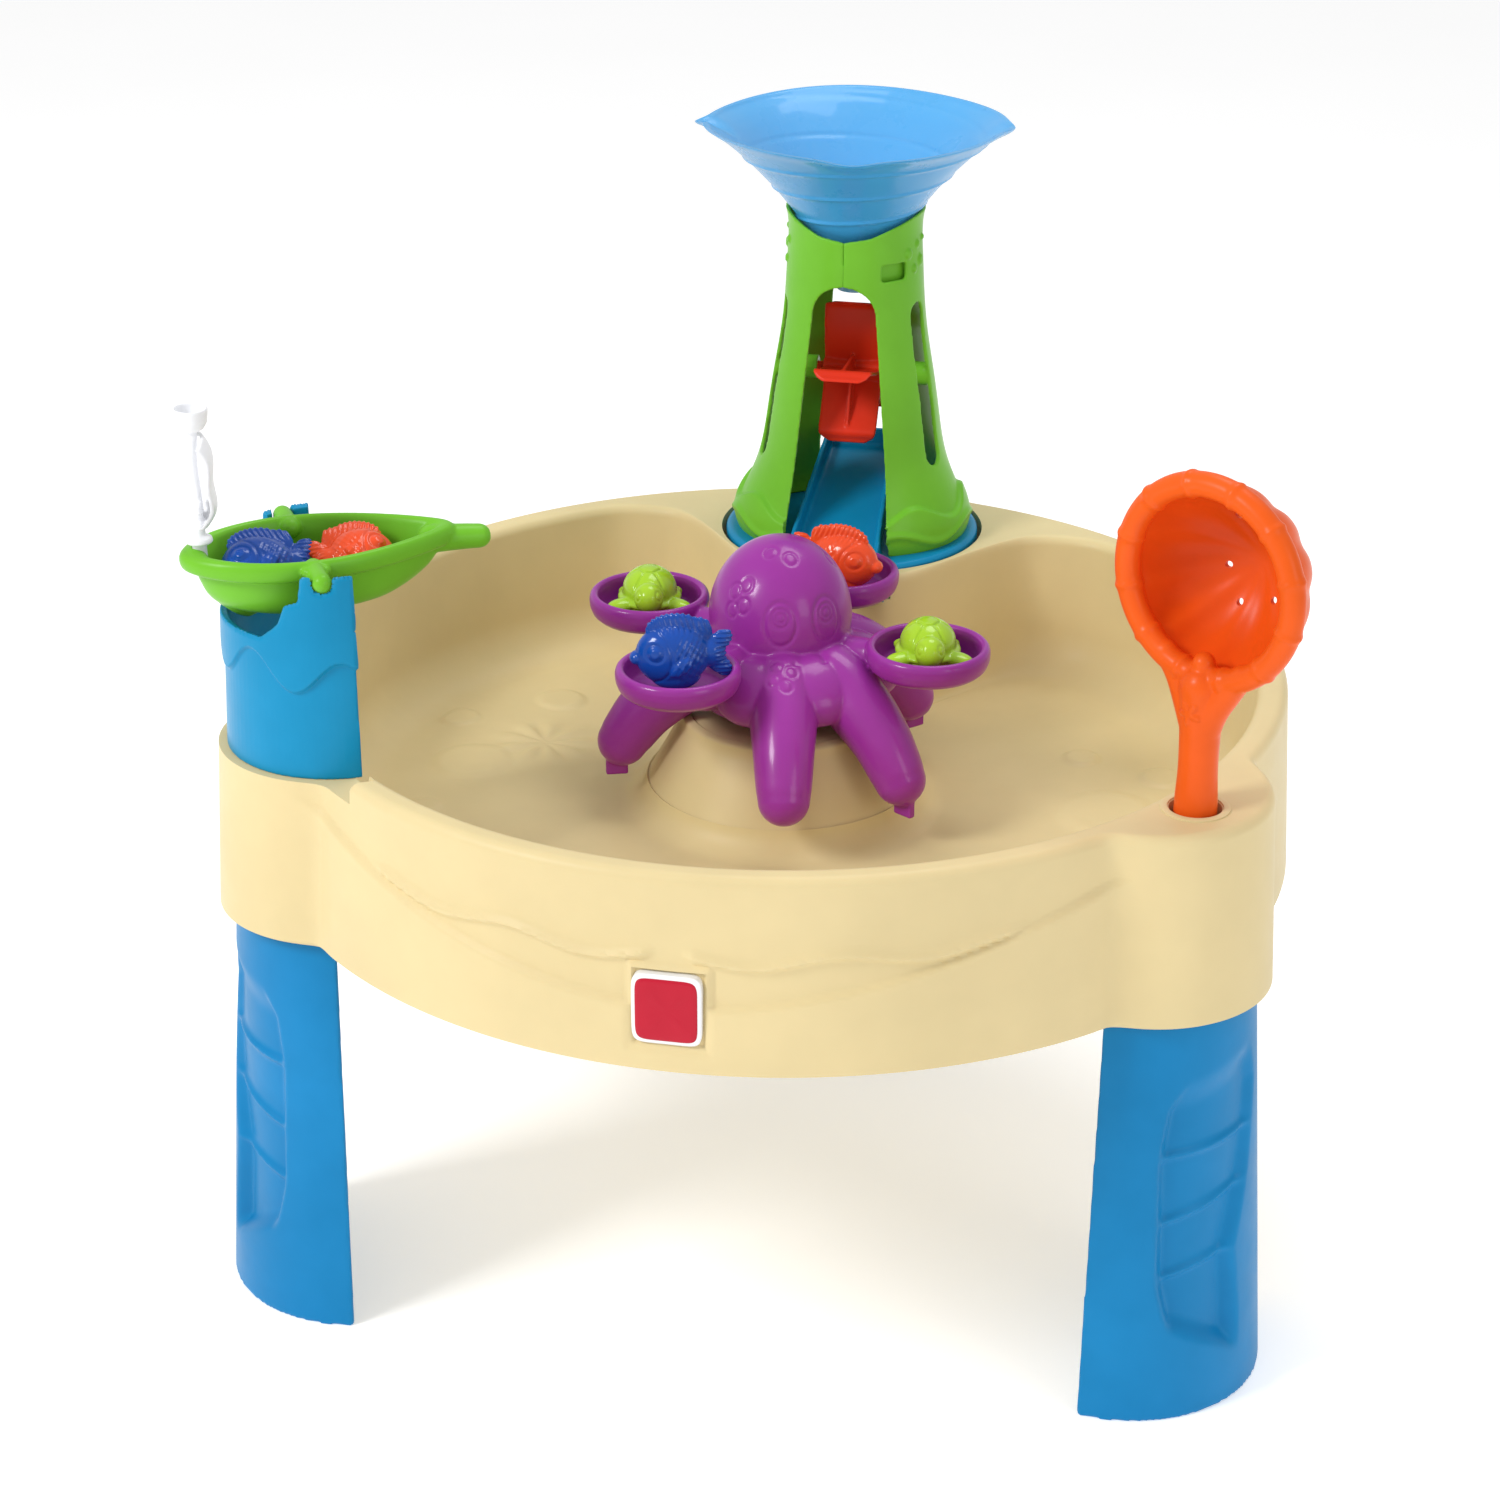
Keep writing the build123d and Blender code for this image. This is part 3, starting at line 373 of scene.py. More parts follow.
def ball(name, centre, radii, forward=(1, 0, 0), upward=UP, turns=48):
    """Ellipsoid with its axes along forward, side and upward."""
    polar = np.linspace(-pi / 2, pi / 2, turns // 2)
    angles = np.linspace(0, 2 * pi, turns, endpoint=False)
    level = np.cos(polar)[None, :]
    local = np.stack(
        (
            np.cos(angles)[:, None] * level * radii[0],
            np.sin(angles)[:, None] * level * radii[1],
            np.ones((turns, 1)) * np.sin(polar) * radii[2],
        ),
        axis=-1,
    )
    grid = carry(local.reshape(-1, 3), settle(centre, forward, upward)).reshape(local.shape)
    return sheet(name, grid, rows_join=True)


def smooth_path(points, steps=12):
    """Catmull-Rom curve through some rows of numbers."""
    points = np.array(points, float)
    padded = np.vstack((2 * points[0] - points[1], points, 2 * points[-1] - points[-2]))
    rows = []
    for i in range(len(points) - 1):
        a, b, c, d = padded[i : i + 4]
        for t in np.linspace(0, 1, steps, endpoint=False):
            rows.append(
                0.5 * (2 * b + (c - a) * t + (2 * a - 5 * b + 4 * c - d) * t**2 + (3 * b - a - 3 * c + d) * t**3)
            )
    return np.array(rows + [points[-1]])


def limb(name, stations, sides=36, flat=1.0, steps=10):
    """Round-ended tube along (x, y, z, radius) stations; flat squeezes it across its second direction."""
    rows = smooth_path(stations, steps)
    path, radii = rows[:, :3], rows[:, 3]
    ways = np.gradient(path, axis=0)
    ways /= np.linalg.norm(ways, axis=1)[:, None]
    first = np.cross(ways[0], UP)
    if np.linalg.norm(first) < 0.2:
        first = np.cross(ways[0], (0, 1, 0))
    ends = np.linspace(0, pi / 2, 7)
    centres = [path[0] - ways[0] * radii[0] * cos(a) for a in ends[:-1]]
    sizes = [radii[0] * sin(a) for a in ends[:-1]]
    directions = [ways[0]] * (len(ends) - 1)
    centres += list(path)
    sizes += list(radii)
    directions += list(ways)
    centres += [path[-1] + ways[-1] * radii[-1] * cos(a) for a in ends[-2::-1]]
    sizes += [radii[-1] * sin(a) for a in ends[-2::-1]]
    directions += [ways[-1]] * (len(ends) - 1)
    angles = np.linspace(0, 2 * pi, sides, endpoint=False)
    grid = []
    for centre, size, way in zip(centres, sizes, directions):
        first = first - way * np.dot(first, way)
        first = first / np.linalg.norm(first)
        second = np.cross(way, first)
        grid.append(centre + size * (np.cos(angles)[:, None] * first + flat * np.sin(angles)[:, None] * second))
    return sheet(name, np.array(grid), columns_join=True)


def slab(name, outline, seat, low, high):
    """Outline in the seat's x and y, thickened along its z."""
    outline = np.array(outline, float)
    count = len(outline)
    points = np.vstack([np.column_stack((outline, np.full(count, height))) for height in (low, high)])
    faces = [list(range(count))[::-1], list(range(count, 2 * count))]
    faces += [(i, (i + 1) % count, (i + 1) % count + count, i + count) for i in range(count)]
    return piece_from(name, carry(points, seat), faces)


def oval(rx, ry, count=64, centre=(0, 0)):
    angles = np.linspace(0, 2 * pi, count, endpoint=False)
    return np.column_stack((centre[0] + rx * np.cos(angles), centre[1] + ry * np.sin(angles)))


def bake(piece):
    """Apply the piece's modifiers."""
    evaluated = piece.evaluated_get(bpy.context.evaluated_depsgraph_get())
    mesh = bpy.data.meshes.new_from_object(evaluated)
    piece.modifiers.clear()
    old = piece.data
    piece.data = mesh
    bpy.data.meshes.remove(old)


def cut(piece, *tools):
    """Take the tools' forms out of a piece."""
    for tool in tools:
        carve = piece.modifiers.new("carve", "BOOLEAN")
        carve.operation = "DIFFERENCE"
        carve.solver = "EXACT"
        carve.object = tool
        bake(piece)
        bpy.data.objects.remove(tool)


def merge(name, parts):
    """Put several forms in one object."""
    work = bmesh.new()
    for part in parts:
        work.from_mesh(part.data)
        bpy.data.objects.remove(part)
    mesh = bpy.data.meshes.new(name)
    work.to_mesh(mesh)
    work.free()
    made = bpy.data.objects.new(name, mesh)
    bpy.context.scene.collection.objects.link(made)
    return made


def melt(piece, voxel, rounds, strength=0.5):
    """Fuse overlapping forms into one skin and soften it."""
    fuse = piece.modifiers.new("fuse", "REMESH")
    fuse.mode = "VOXEL"
    fuse.voxel_size = voxel * MM
    soften = piece.modifiers.new("soften", "SMOOTH")
    soften.factor = strength
    soften.iterations = rounds
    bake(piece)
    return piece


def softened(node, name, voxel, rounds):
    """Copy of a CAD node's form with its edges rounded, standing for that node."""
    made = bpy.data.objects.new(name, frame["nodes"][node].data.copy())
    bpy.context.scene.collection.objects.link(made)
    clean(made)
    return melt(made, voxel, rounds)


def emboss(piece, relief):
    """Move points along their normals by relief(points, normals), in millimetres."""
    mesh = piece.data
    count = len(mesh.vertices)
    points = np.empty(count * 3)
    normals = np.empty(count * 3)
    mesh.vertices.foreach_get("co", points)
    mesh.vertex_normals.foreach_get("vector", normals)
    points = points.reshape(-1, 3)
    normals = normals.reshape(-1, 3)
    points += normals * relief(points / MM, normals)[:, None] * MM
    mesh.vertices.foreach_set("co", points.ravel())
    mesh.update()


def ring_line(points, centre, outward, radii, width, tall=UP):
    """1 on an oval line drawn on the surface near centre, fading to 0 over the width."""
    outward = np.array(outward, float) / np.linalg.norm(outward)
    across = np.cross(tall, outward)
    across /= np.linalg.norm(across)
    rise = np.cross(outward, across)
    offset = points - centre
    reach = np.hypot(offset @ across / radii[0], offset @ rise / radii[1])
    gap = (reach - 1) * min(radii)
    return np.exp(-((gap / width) ** 2)) * (np.abs(offset @ outward) < 14)


def set_out(piece, finish, body, slot, *nodes, sharp=42):
    """Material, shading, body and the CAD nodes that a finished piece stands for."""
    piece.data.materials.clear()
    piece.data.materials.append(finish_for(finish))
    piece.data.polygons.foreach_set("use_smooth", [True] * len(piece.data.polygons))
    piece.data.set_sharp_from_angle(angle=radians(sharp))
    if nodes:
        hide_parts(*nodes)
    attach(piece, body)


# ------------------------------------------------------------------ basin
def ray_reach(angles, centre, radius, far):
    """Distance along rays from the axis to a circle's near or far side; infinite where they miss."""
    along = np.cos(angles) * centre[0] + np.sin(angles) * centre[1]
    inside = along**2 - (centre[0] ** 2 + centre[1] ** 2 - radius**2)
    root = np.sqrt(np.maximum(inside, 0))
    reach = along + root if far else along - root
    return np.where((inside > 0) & (reach > 0), reach, np.nan)


def rounded_round(values, spread):
    """Smooth a closed row of numbers."""
    taps = np.arange(-3 * spread, 3 * spread + 1)
    weights = np.exp(-((taps / spread) ** 2))
    weights /= weights.sum()
    return sum(w * np.roll(values, t) for w, t in zip(weights, taps))


def arc(radial, height, radius, start, end, steps):
    """(offset, height) points on an arc of a wall's section."""
    angles = np.radians(np.linspace(start, end, steps))
    return [(radial + radius * cos(a), height + radius * sin(a)) for a in angles]


class WATERTABLE_OT_basin(Operator):
    """Moulded bowl with its rim, pods, pedestal, relief lines, socket and drain plug"""

    bl_idname = "water_table.basin"
    bl_label = "Basin"

    def execute(self, context):
        size = context.scene.water_table_sizes
        rim, floor, foot = size.rim_height / MM, size.floor_height / MM, size.skirt_bottom / MM
        outer, bowl = size.rim_radius / MM, size.bowl_radius / MM
        turns = 1080
        angles = np.linspace(0, 2 * pi, turns, endpoint=False)
        tower_reach = TOWER[1] - AXIS[1]
        outside = np.full(turns, outer)
        for azimuth in POD_AZIMUTHS.values():
            centre = bearing(azimuth) * size.pod_reach / MM
            pod = ray_reach(angles, centre, size.pod_radius / MM, far=True)
            outside = np.fmax(outside, pod)
        outside = rounded_round(outside, 4)
        inside = np.full(turns, bowl)
        with np.errstate(divide="ignore", invalid="ignore"):
            deck = np.where(np.sin(angles) > 0, (tower_reach + 6) / np.sin(angles), np.nan)
            front = (tower_reach - 120) / np.sin(angles)
            nose = np.where((np.sin(angles) > 0) & (np.abs(front * np.cos(angles)) < 60), front, np.nan)
        boss = ray_reach(angles, (0, tower_reach), 124, far=False)
        for wall in (deck, nose, boss):
            inside = np.fmin(inside, wall)
        inside = rounded_round(inside, 9)

        section = []

        def run(points, inner, outer_share, reach=0.0):
            for offset, height in points:
                section.append((reach + offset, inner, outer_share, height))

        def across(start, end, height, steps):
            """Level run between two (offset, inner share, outer share) ends."""
            for t in np.linspace(0, 1, steps):
                mixed = [(1 - t) * a + t * b for a, b in zip(start, end)]
                section.append((mixed[0], mixed[1], mixed[2], height))

        top = floor + 78
        run([(0, top), (30, top), (60, top), (71, top), (73, top - 1.5), (75, top), (78, top - 1)], 0, 0)
        run(arc(77, top - 5, 4, 70, 10, 5), 0, 0)
        run([(81 + t * 27, top - 8 - t * 50) for t in np.linspace(0, 1, 10)], 0, 0)
        run(arc(134, floor + 25, 25, 190, 268, 10), 0, 0)
        across((136, 0, 0), (-52, 1, 0), floor, 70)
        run(arc(-50, floor + 42, 42, 272, 352, 16), 1, 0)
        run([(-8 + t * 7, floor + 40 + t * (rim - floor - 49)) for t in np.linspace(0, 1, 12)], 1, 0)
        run(arc(8, rim - 9, 9, 180, 92, 8), 1, 0)
        across((9, 1, 0), (-9, 0, 1), rim, 14)
        run(arc(-8, rim - 8, 8, 88, 0, 8), 0, 1)
        run([(t * 7.5, rim - 9 - t * (rim - 12 - foot)) for t in np.linspace(0, 1, 64)], 0, 1)
        run([(7.6, foot + 1), (6, foot), (3.5, foot), (2.3, foot + 1.5), (-3, rim - 40), (-6, rim - 28)], 0, 1)
        across((-9, 0, 1), (8, 1, 0), rim - 25, 8)
        run([(4, rim - 34), (-3, floor + 40)], 1, 0)
        run(arc(-50, floor + 42, 47, 350, 272, 10), 1, 0)
        across((-52, 1, 0), (136, 0, 0), floor - 5, 12)
        run([(104, floor + 10), (76, top - 10), (70, top - 5), (0, top - 5)], 0, 0)

        table = np.array(section)
        reach = table[:, 0] + inside[:, None] * table[:, 1] + outside[:, None] * table[:, 2]
        height = np.tile(table[:, 3], (turns, 1))
        x = reach * np.cos(angles)[:, None]
        y = reach * np.sin(angles)[:, None]
        skirt = (table[:, 2] == 1) & (table[:, 3] < rim - 8.5) & (table[:, 0] >= 0) & (table[:, 3] > foot + 1)
        line = 70 * np.clip(np.abs(x) / 312, 0, 1.2) ** 1.7 + 386
        wave = 427 + 4.0 * np.cos(x / 19.0) + 10 * (np.abs(x) / 300) ** 2 - 3
        fade = ramp(-y, 60, 160) * ramp(330 - np.abs(x), 0, 50)
        depth = size.relief / MM
        lift = depth * 1.7 * (1 - ramp(height - line, -2.5, 2.5)) * fade
        lift = lift + depth * 1.5 * bump(height, wave, 3.4) * fade * ramp(np.abs(x), 8, 20) * ramp(250 - np.abs(x), 0, 30)
        frame_width = np.maximum(np.abs(x - 1) / 30, np.abs(height - 386) / 33)
        framed = (1 - ramp(frame_width, 0.94, 1.06)) * (y < 0)
        lift = lift * (1 - framed) + 3.2 * framed
        lift = lift - 3.2 * (1 - ramp(frame_width, 0.84, 0.9)) * (y < 0)
        lift = np.where(skirt[None, :], lift, 0.0)
        reach = reach + lift
        bed = (table[:, 3] == floor)[None, :] & np.ones((turns, 1), bool)
        height = height + np.where(bed, self.bed_relief(x, y), 0.0)
        x = AXIS[0] + reach * np.cos(angles)[:, None]
        y = AXIS[1] + reach * np.sin(angles)[:, None]
        basin = sheet("basin_moulding", np.stack((x, y, height), axis=-1), rows_join=True)
        pocket = slab(
            "pocket", oval(114, 114, 128), settle(TOWER, (1, 0, 0)), rim - 20, rim + 20
        )
        nose_room = [(-55, -20), (55, -20), (55, -140), (-55, -140)]
        gate = slab("gate", nose_room, settle(TOWER, (1, 0, 0)), rim - 20, rim + 20)
        pod = settle(station(size.pod_reach / MM, -150), bearing(-150))
        turn = np.linspace(-pi / 2, pi / 2, 40)
        ledge_line = [(81 * cos(a), 81 * sin(a)) for a in turn] + [(130 * cos(a), 130 * sin(a)) for a in turn[::-1]]
        ledge = slab("ledge", ledge_line, pod, rim - 17, rim + 20)
        socket_seat = settle(station(408, -31.5), bearing(-31.5))
        hole = slab("hole", oval(19.5, 19.5, 48), socket_seat, rim - 60, rim + 20)
        cut(basin, pocket, gate, ledge, hole)
        collar = spun(
            "collar",
            [(19.5, rim - 2), (20.5, rim + 1.2), (23, rim + 1.6), (25.5, rim + 1), (26, rim - 2),
             (24, rim - 95), (0, rim - 95), (0, rim - 91), (19.5, rim - 91)],
            socket_seat,
        )
        basin = merge("basin_moulding", [basin, collar])
        set_out(basin, "beige", "table", "basin_beige", "basin", sharp=50)

        plug_seat = settle(station(300, -90), (1, 0, 0))
        plug = spun(
            "drain_plug_cap",
            [(0, floor + 2.4), (7, floor + 2.2), (10, floor + 2.9), (13.5, floor + 2.6), (15.6, floor + 1.2),
             (15.8, floor + 0.2), (10.4, floor - 0.2), (10.2, floor - 8), (8, floor - 9), (0, floor - 9)],
            plug_seat,
        )
        set_out(plug, "leg_blue", "drain_plug", "leg_blue", "drain_plug")
        return {"FINISHED"}

    def bed_relief(self, x, y):
        """Bubbles, shells and flow lines moulded in the bowl's floor."""
        relief = np.zeros_like(x)
        bubbles = (
            (250, -150, 24), (292, -95, 14), (215, -205, 16), (-235, -150, 26), (-280, -80, 15), (-190, -215, 14),
            (262, 20, 42), (300, 95, 20), (230, 120, 16), (-265, 10, 34), (-300, 95, 18), (-225, 150, 22),
            (40, -285, 20), (-60, -255, 15), (160, -270, 18),
        )
        for cx, cy, radius in bubbles:
            gap = np.hypot(x - cx, y - cy)
            relief += 2.2 * (1 - ramp(gap, radius * 0.72, radius * 1.08))
        for cx, cy, start in ((-110, -235, 0.6), (150, -190, 2.2), (-215, 60, 4.0)):
            gap = np.hypot(x - cx, y - cy)
            turn = np.arctan2(y - cy, x - cx)
            fan = np.cos(turn * 9 + start) * 0.5 + 0.5
            relief += 2.4 * fan * bump(gap, 26, 17)
        swirl = np.sin(np.arctan2(y, x) * 5 + np.hypot(x, y) / 46)
        relief += 1.1 * swirl * bump(np.hypot(x, y), 235, 80)
        return relief


class WATERTABLE_OT_badge(Operator):
    """Plain domed badge in the frame on the front of the skirt"""

    bl_idname = "water_table.badge"
    bl_label = "Badge"

    def execute(self, context):
        low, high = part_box("badge")
        centre = np.array(((low.x + high.x) / 2, low.y, (low.z + high.z) / 2)) / MM
        seat = settle(centre, (1, 0, 0), (0, -1, 0))
        for name, finish, half, front in (("badge_border", "white", 25.5, 2.4), ("badge_field", "badge_red", 23.0, 3.2)):
            angles = np.linspace(0, 2 * pi, 96, endpoint=False)
            rows = []
            for share, rise in ((0, 1.0), (0.35, 0.98), (0.7, 0.86), (0.88, 0.6), (0.97, 0.2), (1.0, -0.6), (1.0, -9)):
                wide = np.sign(np.cos(angles)) * np.abs(np.cos(angles)) ** 0.28
                tall = np.sign(np.sin(angles)) * np.abs(np.sin(angles)) ** 0.28
                rows.append(np.column_stack(
                    (half * share * wide, 1.08 * half * share * tall, np.full(96, front + rise - 1.4))
                ))
            plate = sheet(name, carry(np.array(rows).reshape(-1, 3), seat).reshape(len(rows), 96, 3), columns_join=True)
            if name == "badge_border":
                set_out(plate, finish, "table", "badge_red", "badge")
            else:
                emboss(plate, lambda p, n: 0.7 * ring_line(p, centre, (0, -1, 0), (11, 11), 1.6)
                       + 0.7 * ring_line(p, centre, (0, -1, 0), (5, 5), 1.4))
                set_out(plate, finish, "table", "badge_red")
        return {"FINISHED"}


# ------------------------------------------------------------------ legs
class WATERTABLE_OT_legs(Operator):
    """Three shell legs with a scooped, ribbed panel on the outer face"""

    bl_idname = "water_table.legs"
    bl_label = "Legs"

    def execute(self, context):
        size = context.scene.water_table_sizes
        foot, top, tall = size.leg_foot / MM, size.leg_top / MM, size.leg_height / MM
        for name, azimuth in POD_AZIMUTHS.items():
            hand = -1 if name == "front_left" else 1
            turn = np.linspace(-72, 72, 181)
            height = np.linspace(0, tall, 221)
            grid_turn, grid_height = np.meshgrid(turn, height, indexing="ij")
            depth = self.panel(grid_turn * hand, grid_height)
            seat = settle(station(size.pod_reach / MM, azimuth), bearing(azimuth))
            skins = []
            for thickness, share in ((0.0, 1.0), (5.0, 1.0)):
                radius = foot + (top - foot) * grid_height / tall - thickness - share * depth
                local = np.stack(
                    (radius * np.cos(np.radians(grid_turn)), radius * np.sin(np.radians(grid_turn)), grid_height), axis=-1
                )
                skins.append(carry(local.reshape(-1, 3), seat).reshape(local.shape))
            loop = np.concatenate((skins[0], skins[1][:, ::-1]), axis=1)
            loop = np.concatenate((loop, loop[:, :1]), axis=1)
            shell = sheet(f"leg_shell_{name}", loop)
            work = bmesh.new()
            work.from_mesh(shell.data)
            holes = [edge for edge in work.edges if edge.is_boundary]
            bmesh.ops.holes_fill(work, edges=holes, sides=0)
            bmesh.ops.recalc_face_normals(work, faces=work.faces)
            work.to_mesh(shell.data)
            work.free()
            lug_line = [(r * cos(radians(a)), r * sin(radians(a))) for r, ends in ((top - 3, 1), (top - 34, -1))
                        for a in np.linspace(-70, 70, 25)[::ends]]
            lug = slab("lug", lug_line, seat, tall - 6, tall)
            shell = merge(f"leg_shell_{name}", [shell, lug])
            melt(shell, 1.7, 2)
            set_out(shell, "leg_blue", "table", "leg_blue", f"leg_{name}", sharp=60)
        coat("leg_screws", "steel")
        return {"FINISHED"}

    def panel(self, turn, height):
        """Depth of the scooped panel and its ribs."""
        right = np.interp(height, (30, 77, 131, 185, 227, 262, 300), (2, 2, -1, 10, 16, 20, 14))
        left = np.interp(height, (30, 60, 118, 222, 262, 300), (-12, -33, -41, -42, -38, -24))
        inside = ramp(turn - left, -1.5, 3.5) * ramp(right - turn, -1.5, 6)
        ends = ramp(height, 40 - turn * 0.9, 58 - turn * 0.9) * ramp(296 - height + turn * 0.3, 0, 30)
        depth = 12.0 * inside * ends * (0.55 + 0.45 * ramp(250 - height, 0, 190))
        for start, slope in ((222, 0.09), (166, 0.36), (118, 0.34)):
            line = start + (turn + 40) * slope
            depth = depth - 3.6 * bump(height, line, 2.8) * inside * ends
        return depth


# ------------------------------------------------------------------ tower
class WATERTABLE_OT_tower(Operator):
    """Blue chute base and the two green halves of the tower"""

    bl_idname = "water_table.tower"
    bl_label = "Tower"

    def execute(self, context):
        base = softened("tower_base", "chute_base", 1.3, 3)
        set_out(base, "tower_blue", "table", "tower_blue", "tower_base", sharp=60)
        for side in ("left", "right"):
            half = bpy.data.objects.new(f"tower_half_{side}", frame["nodes"][f"tower_{side}"].data.copy())
            context.scene.collection.objects.link(half)
            clean(half)
            scallop = [(-64, 800), (64, 800), (60, 776), (44, 769), (22, 760), (0, 756.5), (-22, 760), (-44, 769),
                       (-60, 776)]
            face = (TOWER, np.array(((1.0, 0, 0), UP, (0, -1.0, 0))))
            cut(half, slab("scallop", scallop, face, -90, 90))
            if side == "right":
                backing = settle(TOWER + bearing(-44) * 47 + 729 * UP, bearing(-44))
                half = merge(f"tower_half_{side}", [half, slab("backing", [(0, -15), (3, -15), (3, 15), (0, 15)], backing,
                                                               -12, 14)])
            melt(half, 1.2, 3)
            emboss(half, self.relief)
            set_out(half, "green", "table", "green", f"tower_{side}", sharp=60)
        for node in ("tower_base_screws", "tower_foot_screws", "tower_seam_screws"):
            coat(node, "steel")
        return {"FINISHED"}

    def relief(self, points, normals):
        """Waves round the foot and a few bubbles near the top, on the outer face only."""
        local = points - TOWER
        turn = np.degrees(np.arctan2(local[:, 1], local[:, 0]))
        flat = np.column_stack((local[:, 0], local[:, 1]))
        flat /= np.maximum(np.linalg.norm(flat, axis=1), 1)[:, None]
        outer = ramp((normals[:, :2] * flat).sum(axis=1), 0.3, 0.7)
        height = points[:, 2]
        crest = 521 + 7 * np.sin(np.radians(turn * 7 + 30))
        lift = 4.2 * (1 - ramp(height - crest, -2.5, 2.5))
        lift += 2.2 * bump(height, 503 + 5 * np.sin(np.radians(turn * 7 + 120)), 3)
        for azimuth, level, radius in ((-28, 742, 4.5), (-14, 748, 3.5), (-20, 728, 3.5), (-8, 733, 5), (-2, 751, 3),
                                       (188, 742, 4.5), (196, 730, 3.5), (202, 748, 3.5), (183, 755, 3)):
            spot = TOWER + bearing(azimuth) * 58 + level * UP
            lift += 1.8 * (1 - ramp(np.linalg.norm(points - spot, axis=1), radius * 0.6, radius * 1.25))
        return lift * outer


class WATERTABLE_OT_wheel(Operator):
    """Water wheel with five curved, lipped paddles"""

    bl_idname = "water_table.wheel"
    bl_label = "Water wheel"

    def execute(self, context):
        size = context.scene.water_table_sizes
        reach = size.paddle_reach / MM
        side = (1, 0, 0)
        hub_seat = settle(WHEEL, (0, 1, 0), side)
        profile = [(0, -52), (4.2, -52), (5, -51), (5, -27), (10, -25), (8.5, -12), (8, 0), (8.5, 12), (10, 25),
                   (5, 27), (5, 51), (4.2, 52), (0, 52)]
        parts = [spun("hub", profile, hub_seat, 48)]
        for number in range(5):
            angle = radians(20 + 72 * number)
            outward = np.array((0, cos(angle), sin(angle)))
            ahead = np.array((0, -sin(angle), cos(angle)))
            along = np.linspace(5, reach, 34)
            across = np.linspace(-1, 1, 33)
            curl = 2.2 * np.sin((along - 5) / (reach - 5) * pi) + 9.5 * ramp(along, reach - 11, reach + 2)
            stretch = along - 3.0 * ramp(along, reach - 9, reach)
            half = 25 - 10 * np.clip((along - (reach - 12)) / 12, 0, 1) ** 2.6
            grids = []
            for thickness in (-1.5, 1.5):
                rows = [
                    WHEEL + outward * s + ahead * (c + thickness) + np.outer(across * h, side)
                    for s, c, h in zip(stretch, curl, half)
                ]
                grids.append(np.array(rows))
            loop = np.concatenate((grids[0], grids[1][:, ::-1]), axis=1)
            blade = sheet("blade", loop, columns_join=True)
            work = bmesh.new()
            work.from_mesh(blade.data)
            bmesh.ops.holes_fill(work, edges=[e for e in work.edges if e.is_boundary], sides=0)
            bmesh.ops.recalc_face_normals(work, faces=work.faces)
            work.to_mesh(blade.data)
            work.free()
            parts.append(blade)
            web_line = [(6, -1), (reach - 14, -1), (6, -13)]
            web_seat = (WHEEL, np.stack((outward, ahead, np.cross(outward, ahead))))
            parts.append(slab("web", web_line, web_seat, -1.2, 1.2))
        wheel = melt(merge("paddle_wheel", parts), 1.0, 2)
        set_out(wheel, "red", "wheel", "wheel_red", "water_wheel", sharp=60)
        return {"FINISHED"}


class WATERTABLE_OT_funnel(Operator):
    """Translucent funnel with a wavy pouring rim and a spiral ridge"""

    bl_idname = "water_table.funnel"
    bl_label = "Funnel"

    def execute(self, context):
        size = context.scene.water_table_sizes
        rim = size.funnel_rim / MM
        turns = 288
        angles = np.linspace(0, 2 * pi, turns, endpoint=False)
        degrees = np.degrees(angles)
        lip = sum(
            share * bump((degrees - place + 180) % 360 - 180, 0, width)
            for place, width, share in ((4, 8, 0.4), (184, 4, 0.65), (278, 9, 0.45))
        )
        levels = np.linspace(702, 844, 118)
        radii = np.interp(
            levels, (702, 724, 734, 744, 752, 775, 794, 812, 828, 838, 844),
            (15, 15, 21, 32, 40, 55.8, 71, 88, 104.5, 117, rim - 1.5),
        )
        radii = np.convolve(np.pad(radii, 3, "edge"), np.ones(7) / 7, "valid")
        lip_share = ramp(levels, 824, 844)
        spiral = np.zeros((turns, len(levels)))
        for start in (748, 774, 800, 826):
            line = start + 26 * ((degrees + 60) % 360) / 360
            spiral += bump(levels[None, :], line[:, None], 1.5)
        rim_drop = -4.0 * lip + 1.5 * np.cos(3 * angles + 0.6)
        rows = []
        for thickness, ridge in ((0.0, 1.0), (2.6, 0.5)):
            reach = radii[None, :] - thickness * 1.2 + ridge * 1.7 * spiral + 13 * lip[:, None] * lip_share[None, :]
            height = levels[None, :] + rim_drop[:, None] * lip_share[None, :] ** 2
            rows.append((reach, height))
        reach = np.concatenate((rows[0][0], rows[0][0][:, -1:] + 0.6, rows[1][0][:, ::-1]), axis=1)
        edge = rows[0][1][:, -1:] + 1.0
        height = np.concatenate((rows[0][1], edge, rows[1][1][:, ::-1] + 1.0), axis=1)
        height[:, -1] = 702
        grid = np.stack(
            (TOWER[0] + reach * np.cos(angles)[:, None], TOWER[1] + reach * np.sin(angles)[:, None], height), axis=-1
        )
        funnel = sheet("funnel_bowl", grid, rows_join=True, columns_join=True)
        set_out(funnel, "clear_blue", "funnel", "funnel_clear_blue", "funnel", sharp=70)
        return {"FINISHED"}


